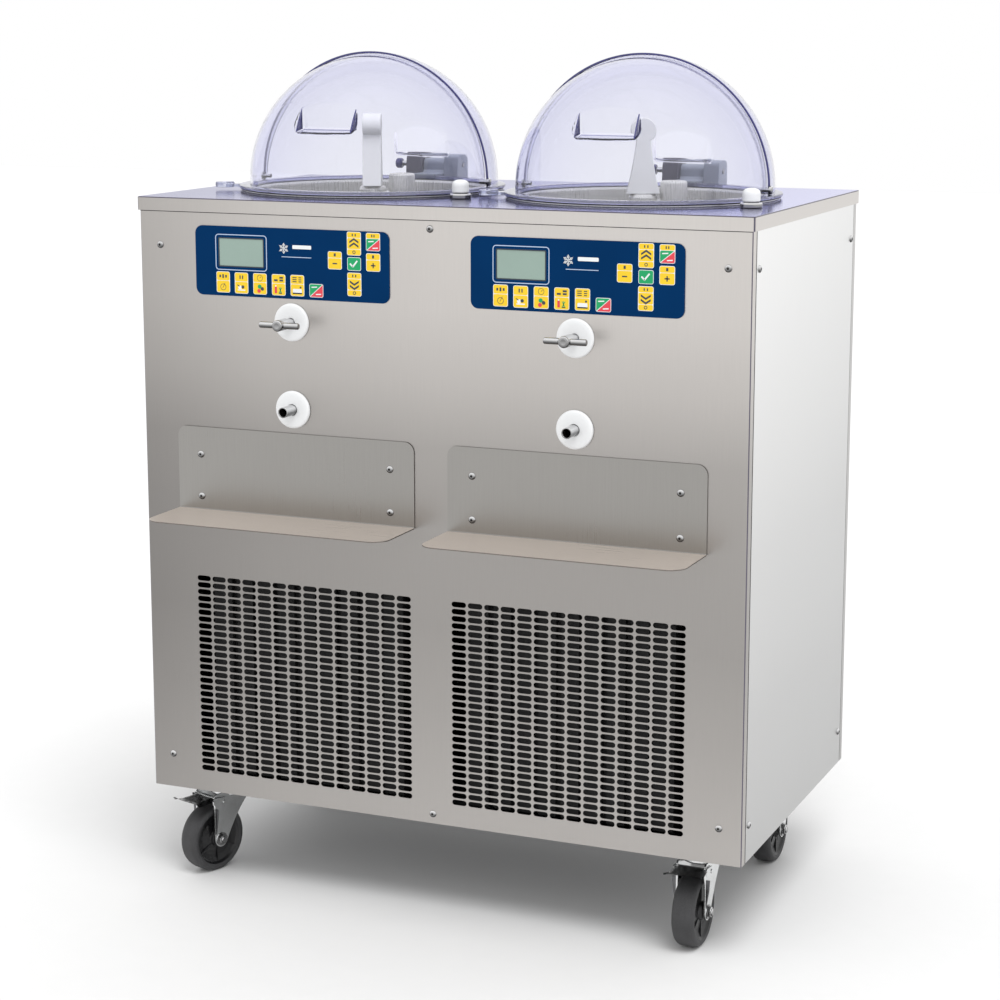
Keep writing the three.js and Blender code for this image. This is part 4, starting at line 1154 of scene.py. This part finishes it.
def arch(name, label, radius, angle, width, thick, mat):
    """A strip along a shell's cut edge: a half hoop about the X axis at one angle."""
    centre = pivot_of(f"{name}_front_shell_pivot")
    tilt = Matrix.Rotation(radians(angle), 4, "X")
    corners = ((radius, -width / 2), (radius, width / 2), (radius - thick, width / 2),
               (radius - thick, -width / 2))
    bm = bmesh.new()
    rings = [[bm.verts.new(centre + tilt @ Vector((r * cos(t), y, r * sin(t))))
              for r, y in corners] for t in (radians(1.5 + 177 * i / 72) for i in range(73))]
    skin(bm, rings)
    bm.faces.new(rings[0][::-1])
    bm.faces.new(rings[-1])
    soften(emit(f"{name}_{label}_cut_edge", bm, mat, body=f"{name}_{label}_shell"),
           0.5)


def pocket_edges(name):
    """The thick violet corners at the two ends of the front finger pocket."""
    centre = pivot_of(f"{name}_front_shell_pivot")
    wall, floor, half = FRONT_POCKET["wall"], FRONT_POCKET["floor"], FRONT_POCKET["half"]
    slice_r = sqrt(DOME_IN_R ** 2 - half ** 2)
    top, low = sqrt(slice_r ** 2 - wall ** 2), floor - 3.2
    rim = [low + (top - low) * i / 8 for i in range(9)]
    outline = [(-wall, floor)] + [(-sqrt(slice_r ** 2 - z ** 2), z) for z in rim]
    bm = bmesh.new()
    for side, thick in ((-1, 0.8), (1, 1.5)):
        x = side * (half + 0.6)
        prism(bm, outline, lambda u, v, w: centre + Vector((w, u, v)), x - thick / 2, x + thick / 2)
    emit(f"{name}_pocket_edges", bm, SEAM, body=f"{name}_front_shell")


def lid(name):
    centre = pivot_of(f"{name}_front_shell_pivot")
    hinge = pivot_of(f"{name}_lid_hinge")
    low = box(f"{name}_lid_rear")[0].z
    rear = f"{name}_rear_shell"
    down = centre.z - low
    dome_quarter(name, "rear", DOME_OUT_R, REAR_POCKET, [down, down / 2],
                 [(0, 0.7), (28, 3), (90, 3)])
    dome_quarter(name, "front", DOME_IN_R, FRONT_POCKET, [down - FLANGE - 0.3, 3],
                 [(0, 3), (20, 0.6), (44, 3), (93, 3)])
    pocket_edges(name)
    arch(name, "rear", DOME_OUT_R + 0.5, 1.0, 2.6, 2.7, SEAM)
    arch(name, "front", DOME_IN_R - 0.1, -3.2, 1.4, 2.2, SEAM_LIGHT)

    inner, top = DOME_IN_R - DOME_WALL, low + FLANGE
    ring = [(inner, low + 0.3), (inner, top - 0.6), (inner + 1, top), (FLANGE_R - 2.0, top),
            (FLANGE_R - 0.5, top - 0.7), (FLANGE_R, low + FLANGE / 2),
            (FLANGE_R - 0.5, low + 0.7), (FLANGE_R - 2, low + 0.2)]
    bm = bmesh.new()
    lathe(bm, ring, moved(centre.x, centre.y), 96, closed=True)
    emit(f"{name}_lid_flange", bm, FLANGE_CLEAR, body=rear)

    neck = moved(centre.x, centre.y, low, turn=radians(-155))
    tab = [(0, 0), (13, 0), (14, 1), (14, 6.6), (12.6, 8), (0, 8)]
    bm = bmesh.new()
    lathe(bm, rounded_profile(tab, 0.8), neck @ moved(216, 0, turn=radians(155)), 40)
    prism(bm, [(190, -15), (205, -10), (214, -11), (214, 11), (205, 10), (190, 15)], on(neck), 0.4,
          4.8)
    emit(f"{name}_lid_tab", bm, TAB_CLEAR, body=rear)

    pin = [(0, -8), (2.9, -8), (2.9, 6), (6, 6.2), (6, 8.4), (4.6, 9.6), (2.0, 10), (0, 10)]
    bm = bmesh.new()
    for side, face in ((1, "right"), (-1, "left")):
        lathe(bm, pin, moved(centre.x + side * (DOME_IN_R - 1), centre.y, centre.z, face), 24)
    emit(f"{name}_lid_pivots", bm, CHROME, body=rear)

    root = centre.y + FLANGE_R - 16
    tongue = [(root, low), (hinge.y, low), (hinge.y + 0.5, hinge.z - 9.9)]
    tongue += arc(hinge.y, hinge.z, 10, -75, 180, 17)
    tongue += [(hinge.y - 10, low + 12), (hinge.y - 14, low + 8), (root, low + 8)]
    bm = bmesh.new()
    prism(bm, tongue, lambda u, v, w: Vector((centre.x + w, u, v)), -19.7, 19.7)
    soften(emit(f"{name}_lid_tongue", bm, GREY_LIGHT, (), 40, rear), 1.2, 3, 50)


def hinge_block(name):
    lo, hi = box(f"{name}_hinge_block")
    hinge = pivot_of(f"{name}_lid_hinge")
    inner, outer = 20, 45
    front, rear = hinge.y - 20, hinge.y + 22
    cheek = [(front - 3, lo.z), (rear, lo.z), (rear, hi.z - 9)]
    cheek += arc(rear - 9, hi.z - 9, 9, 30, 90, 2)
    cheek += [(front + 8, hi.z), (front + 2, hi.z - 3), (front, hi.z - 9)]
    for side, tag, mat in ((-1, "left", GREY_DARK), (1, "right", GREY_LIGHT)):
        bm = bmesh.new()
        prism(bm, cheek, edgewise, *sorted((hinge.x + side * inner, hinge.x + side * outer)))
        soften(emit(f"{name}_hinge_cheek_{tag}", bm, mat,
                    [f"{name}_hinge_block"] if side < 0 else (), 40), 1.6, 3)
    bm = bmesh.new()
    prism(bm, rounded(hinge.x, (front - 7 + rear) / 2, outer * 2 + 1, rear - front + 7, 3, 4), flat,
          lo.z, lo.z + 2.7)
    soften(emit(f"{name}_hinge_foot", bm, GREY_DARK), 0.6)
    reach = hinge.x - lo.x
    place = moved(*hinge, "left")
    bm = bmesh.new()
    lathe(bm, [(0, -46), (4, -46), (4, reach - 12), (0, reach - 12)], place, 24)
    emit(f"{name}_hinge_pin", bm, CHROME)
    knob = [(0, reach - 10.5), (7, reach - 10.5), (8, reach - 9), (8, reach - 2.5),
            (6.4, reach - 0.6), (0, reach)]
    bm = bmesh.new()
    lathe(bm, rounded_profile(knob, 0.9), place, 32)
    emit(f"{name}_hinge_pin_knob", bm, SEAM)


def clamp_knob(name):
    lo, hi = box(f"{name}_clamp_knob")
    r, height = (hi.x - lo.x) / 2, hi.z - lo.z
    base = [(0, 0), (r - 0.5, 0), (r, 0.8), (r, 5.2), (r - 1.2, 6.8), (10, 7.6), (9, 9), (0, 9)]
    cap = [(0, 8.2), (11.2, 8.2), (12, 9.2), (12, height - 8), (11.3, height - 4.6),
           (9.2, height - 2.0), (5.6, height - 0.5), (0, height)]
    for label, profile, radius, mat, slot, stands_for in (
            ("base", base, 0.6, CHROME, "zinc", [f"{name}_clamp_knob"]),
            ("cap", cap, 1.0, WHITE, "white_plastic", ())):
        bm = bmesh.new()
        lathe(bm, rounded_profile(profile, radius),
              moved((lo.x + hi.x) / 2, (lo.y + hi.y) / 2, lo.z), 40)
        emit(f"{name}_knob_{label}", bm, mat, stands_for, body=f"{name}_knob")


# ---------------------------------------------------------------- power inlet
def gland():
    """The cable gland: a hexagon body and a ribbed cap round an empty hole."""
    lo, hi = box("power_inlet")
    length, r = hi.y - lo.y, (hi.x - lo.x) / 2
    place = moved((lo.x + hi.x) / 2, lo.y, (lo.z + hi.z) / 2, "rear")
    cap = [(4, 6), (r - 3, 6), (r - 3, length - 4), (r - 5, length - 1), (6, length),
           (4.4, length - 0.4), (4, length - 2)]
    rib = [(r - 3.3, -0.7), (r - 2.2, -0.5), (r - 2.2, 0.5), (r - 3.3, 0.7)]
    bm = bmesh.new()
    lathe(bm, [(4, 0), (r, 0), (r, 5.2), (r - 0.8, 6), (r - 3, 6), (4, 6)], place, 6, closed=True)
    lathe(bm, cap, place, 40, closed=True)
    for k in range(18):
        prism(bm, rib, on(place @ Matrix.Rotation(pi * k / 9, 4, "Z")), 7, length - 5)
    emit("cord_gland", bm, BLACK, ["power_inlet"])


# ---------------------------------------------------------------- castors
LEG_IN, LEG_OUT = 18.5, 21.5
WHEEL_HALF = 16.5
CROWN_LOW, CROWN_HIGH = 112, 120.7


def castor_mount(name, swivel):
    """The slotted top plate, its race and four bolts."""
    lo, hi = box(f"{name}_castor_plate")
    corners = [(sx * 37, sy * 29) for sx in (-1, 1) for sy in (-1, 1)]
    bm = bmesh.new()
    filled(bm, rounded(0, 0, hi.x - lo.x, hi.y - lo.y, 6, 6),
           [stadium(x, y, 13, 9, 5) for x, y in corners],
           lambda u, v: Vector((swivel.x + u, swivel.y + v, hi.z)))
    thicken(emit(f"{name}_top_plate", bm, ZINC, [f"{name}_castor_plate"],
                 facing=(0, 0, 1)), 3.7)
    race_top = hi.z - 3.6
    race = [(12, lo.z + 0.2), (29, lo.z + 0.2), (31, lo.z + 2), (31, lo.z + 5), (28, race_top),
            (12, race_top)]
    bm = bmesh.new()
    lathe(bm, rounded_profile(race, 1.0), moved(swivel.x, swivel.y))
    for x, y in corners:
        lathe(bm, [(0, 0), (6.4, 0), (7.0, 0.8), (7.0, 4.6), (0, 4.6)],
              moved(swivel.x + x, swivel.y + y, race_top - 4.4), 6)
    emit(f"{name}_race_and_bolts", bm, CHROME)


def fork(name, swivel, local, trail, axle_z, on_axle):
    """A domed crown, two shaped legs with turned flanges, and the axle bolt with its nuts."""
    body = f"{name}_swivel"
    low, high = CROWN_LOW, CROWN_HIGH
    crown = [(0, high - 4), (10, high - 4), (12, high - 0.6), (26, high - 0.6), (28.6, high - 2.6),
             (28.6, low + 1), (27, low - 0.6), (0, low)]
    bm = bmesh.new()
    lathe(bm, rounded_profile(crown, 1.2), moved(swivel.x, swivel.y))
    emit(f"{name}_fork_crown", bm, ZINC, [f"{name}_castor_fork"], body=body)

    front = trail + 12
    leg = [(-25, low - 1), (-25, high - 1.2), (front - 3, high - 1.2), (front, high - 4),
           (front, axle_z)] + arc(trail, axle_z, 12, -18, -144, 7)
    start, bend, stop = Vector(leg[-1]), Vector((4, 88)), Vector(leg[0])
    leg += [tuple(start * (1 - t) ** 2 + bend * 2 * t * (1 - t) + stop * t ** 2)
            for t in (i / 10 for i in range(1, 10))]
    bm = bmesh.new()
    for side in (-1, 1):
        prism(bm, leg, lambda u, v, w: local @ Vector((w, -u, v)),
              *sorted((side * LEG_IN, side * LEG_OUT)))
        flange = [(LEG_OUT - 0.2, 98), (LEG_OUT + 5.5, 98), (LEG_OUT + 4.5, 82),
                  (LEG_OUT + 1.0, 60), (LEG_OUT - 0.2, 58)]
        prism(bm, [(side * u, v) for u, v in flange][::side],
              lambda u, v, w: local @ Vector((u, -w, v)), front - 2.6, front, 1)
    # The flanges take the darker zinc copy, a painted shade.
    soften(emit(f"{name}_fork_legs", bm, [ZINC, ZINC_PAINTED_SHADE], body=body), 0.7)

    half, out = LEG_OUT + 7, LEG_OUT
    bm = bmesh.new()
    lathe(bm, [(0, -half), (4.2, -half), (5, 1 - half), (5, half - 1), (4.2, half), (0, half)],
          on_axle, 24)
    for turn in (pi, 0):
        end = on_axle @ Matrix.Rotation(turn, 4, "X")
        lathe(bm, [(4.5, out), (10, out), (10, out + 1), (4.5, out + 1)], end, 32, closed=True)
        lathe(bm, [(4.5, out + 1), (8, out + 1), (8, out + 4.6), (7, out + 5.4), (4.5, out + 5.4)],
              end, 6, closed=True)
    emit(f"{name}_axle_bolt", bm, CHROME, body=body)


def both_sides(half):
    """A closed profile made of half of it and that half's mirror image."""
    return half + [(r, -z) for r, z in half[::-1]]


def wheel(name, r, on_axle):
    """A soft tyre on a moulded black centre with ribs."""
    body, w = f"{name}_wheel_body", WHEEL_HALF
    tyre = both_sides([(r - 10.5, 1.6 - w), (r - 6.5, -w), (r - 3.2, 1.4 - w), (r - 0.8, 4.6 - w),
                       (r, 9 - w)])
    hub = both_sides([(5.4, 0.2 - w), (12, 0.2 - w), (13.5, 5 - w), (28, 7 - w), (r - 13, 5 - w),
                      (r - 10.1, 1.2 - w)])
    bm = bmesh.new()
    lathe(bm, rounded_profile(tyre, 2, 3), on_axle, 72, closed=True)
    emit(f"{name}_tyre", bm, TREAD, [f"{name}_wheel"], body=body)
    bm = bmesh.new()
    lathe(bm, rounded_profile(hub, 1.2, 3), on_axle, 56, closed=True)
    for side in (-1, 1):
        for turn in range(0, 360, 60):
            prism(bm, [(12, -1.4), (r - 12, -1.0), (r - 12, 1.0), (12, 1.4)],
                  on(on_axle @ Matrix.Rotation(radians(turn), 4, "Z")),
                  *sorted((side * (w - 7.4), side * (w - 4.4))))
    emit(f"{name}_wheel_centre", bm, BLACK, body=body)


def castor(name):
    axis = JOINTS[f"{name}_wheel_roll"]["axis"]
    axle, swivel = pivot_of(f"{name}_wheel_roll"), pivot_of(f"{name}_castor_swivel")
    turn = atan2(axis[1], axis[0])
    local = moved(swivel.x, swivel.y, turn=turn)
    on_axle = moved(*axle, "right", turn)
    castor_mount(name, swivel)
    fork(name, swivel, local, (axle - swivel).xy.length, axle.z, on_axle)
    wheel(name, axle.z / cos(pi / 20), on_axle)
    if name.startswith("front"):
        brake(name, local)


PIN_Y, PIN_Z = -30, 106
CHEEK_IN, CHEEK_OUT = 22, 24
# The tread's line from the cheeks to its lip, from the pin: back, up and half width
TREAD_LINE = ((-19, 8.6, 24), (-30, 7.8, 24.5), (-44, 7.2, 26), (-54, 8.0, 27), (-59, 10.4, 27),
              (-61.4, 12.6, 26))


def brake(name, local):
    """The pressed pedal: two cheeks on the pin and a tread with a rolled lip."""
    place = local @ moved(0, PIN_Y, PIN_Z)
    cheek = [(5, -4), (6, 2), (2, 7), (-20, 9), (-22, 7.5), (-21, -1), (-8, -5)]
    bm = bmesh.new()
    for side in (-1, 1):
        prism(bm, cheek, lambda u, v, w: place @ Vector((w, u, v)),
              *sorted((side * CHEEK_IN, side * CHEEK_OUT)), 1)
    rows = []
    for y, z, half in TREAD_LINE:
        hollow = 5 if y < -55 else 2
        rows.append([bm.verts.new(place @ Vector((half * u, y + hollow * u * u,
                                                  z - 3.0 * max(0.0, abs(u) - 0.72) / 0.28)))
                     for u in (-1 + i / 7 for i in range(15))])
    bmesh.ops.solidify(bm, geom=skin(bm, rows, closed=False), thickness=2.0)
    for x in (-12, 0, 12):
        prism(bm, stadium(x, -44, 3.0, 1.5, 3), on(place), 8.6, 9.4)
    end = CHEEK_OUT + 1
    lathe(bm, [(0, -end), (3, -end), (3, end), (0, end)], place @ TURNS["right"], 20, 1)
    emit(f"{name}_brake_tread", bm, [PEDAL_STEEL, ZINC], [f"{name}_brake_pedal"], 40,
         f"{name}_brake")


# ---------------------------------------------------------------- parts inside, kept as packed
def repaint(nodes, mat):
    for node in nodes:
        obj = frame["nodes"][node]
        obj.data.materials.clear()
        obj.data.materials.append(mat)


def inner_parts():
    # The base pan takes the darkened finish, a painted shade under the cabinet.
    repaint(["base_pan"], PAN_PAINTED_SHADE)
    repaint(["control_box"], POWDER)
    for name in SIDES:
        repaint([f"{name}_gearmotor", f"{name}_compressor"], ENAMEL)
        # The condenser's near-black is partly black paint and partly painted shade.
        repaint([f"{name}_condenser"], BLACK_FINS_AND_PAINTED_SHADE)
        repaint([f"{name}_fan"], BLACK)


# ---------------------------------------------------------------- build
front_sheet()
rear_sheet()
side_sheets()
top_sheet()
shadow_gap_lines()
cabinet_screws()
for side_name in SIDES:
    shelf(side_name)
    disc(side_name, "tap_disc", 6.2)
    disc(side_name, "spout_disc", 7.7)
    tap(side_name)
    spout(side_name)
    key_panel(side_name)
    vat(side_name)
    agitator(side_name)
    grip(side_name)
    lid(side_name)
    hinge_block(side_name)
    clamp_knob(side_name)
gland()
for castor_name in CASTORS:
    castor(castor_name)
inner_parts()
settle()


# ---------------------------------------------------------------- stage, light and camera
def stage_floor():
    bm = bmesh.new()
    size = 14.0
    corners = [bm.verts.new((x * size, y * size, 0)) for x, y in ((-1, -1), (1, -1), (1, 1),
                                                                  (-1, 1))]
    bm.faces.new(corners)
    mesh = bpy.data.meshes.new("studio_floor")
    bm.to_mesh(mesh)
    bm.free()
    mesh.materials.append(surface("pale_floor", (0.75, 0.75, 0.75), 0.8, 0.0, 30, 1.5, 0.008,
                                  0.04, 0.05, 0.0002))
    obj = bpy.data.objects.new("studio_floor", mesh)
    bpy.context.scene.collection.objects.link(obj)


def sun_light(name, place, strength, spread_angle):
    """A broad, distant soft box overhead; it leaves no hard shape in the polished parts."""
    data = bpy.data.lights.new(name, "SUN")
    data.energy = strength
    data.angle = radians(spread_angle)
    obj = bpy.data.objects.new(name, data)
    obj.rotation_mode = "QUATERNION"
    obj.rotation_quaternion = Vector(place).to_track_quat("Z", "Y")
    obj.visible_glossy = False
    obj.visible_transmission = False
    bpy.context.scene.collection.objects.link(obj)


def studio():
    world = bpy.data.worlds.new("studio_white")
    bpy.context.scene.world = world
    world.use_nodes = True
    back = world.node_tree.nodes["Background"]
    back.inputs["Color"].default_value = (1.0, 1.0, 1.0, 1)
    back.inputs["Strength"].default_value = 1.0
    sun_light("key", (0.35, -0.35, 1.0), 1.65, 32.0)
    scene = bpy.context.scene
    scene.view_settings.view_transform = "Standard"
    scene.view_settings.look = "None"


CAMERA_PLACE = (1.314753, -3.071605, 1.241699)
CAMERA_PITCH, CAMERA_YAW = 10.3674, 23.0009
CAMERA_LENS = 84.583


def camera():
    data = bpy.data.cameras.new("camera")
    data.sensor_width = 36.0
    data.lens = CAMERA_LENS
    data.shift_y = -0.05
    data.clip_start, data.clip_end = 0.05, 60.0
    obj = bpy.data.objects.new("camera", data)
    obj.location = CAMERA_PLACE
    obj.rotation_euler = (radians(90 - CAMERA_PITCH), 0.0, radians(CAMERA_YAW))
    bpy.context.scene.collection.objects.link(obj)
    bpy.context.scene.camera = obj


stage_floor()
studio()
camera()
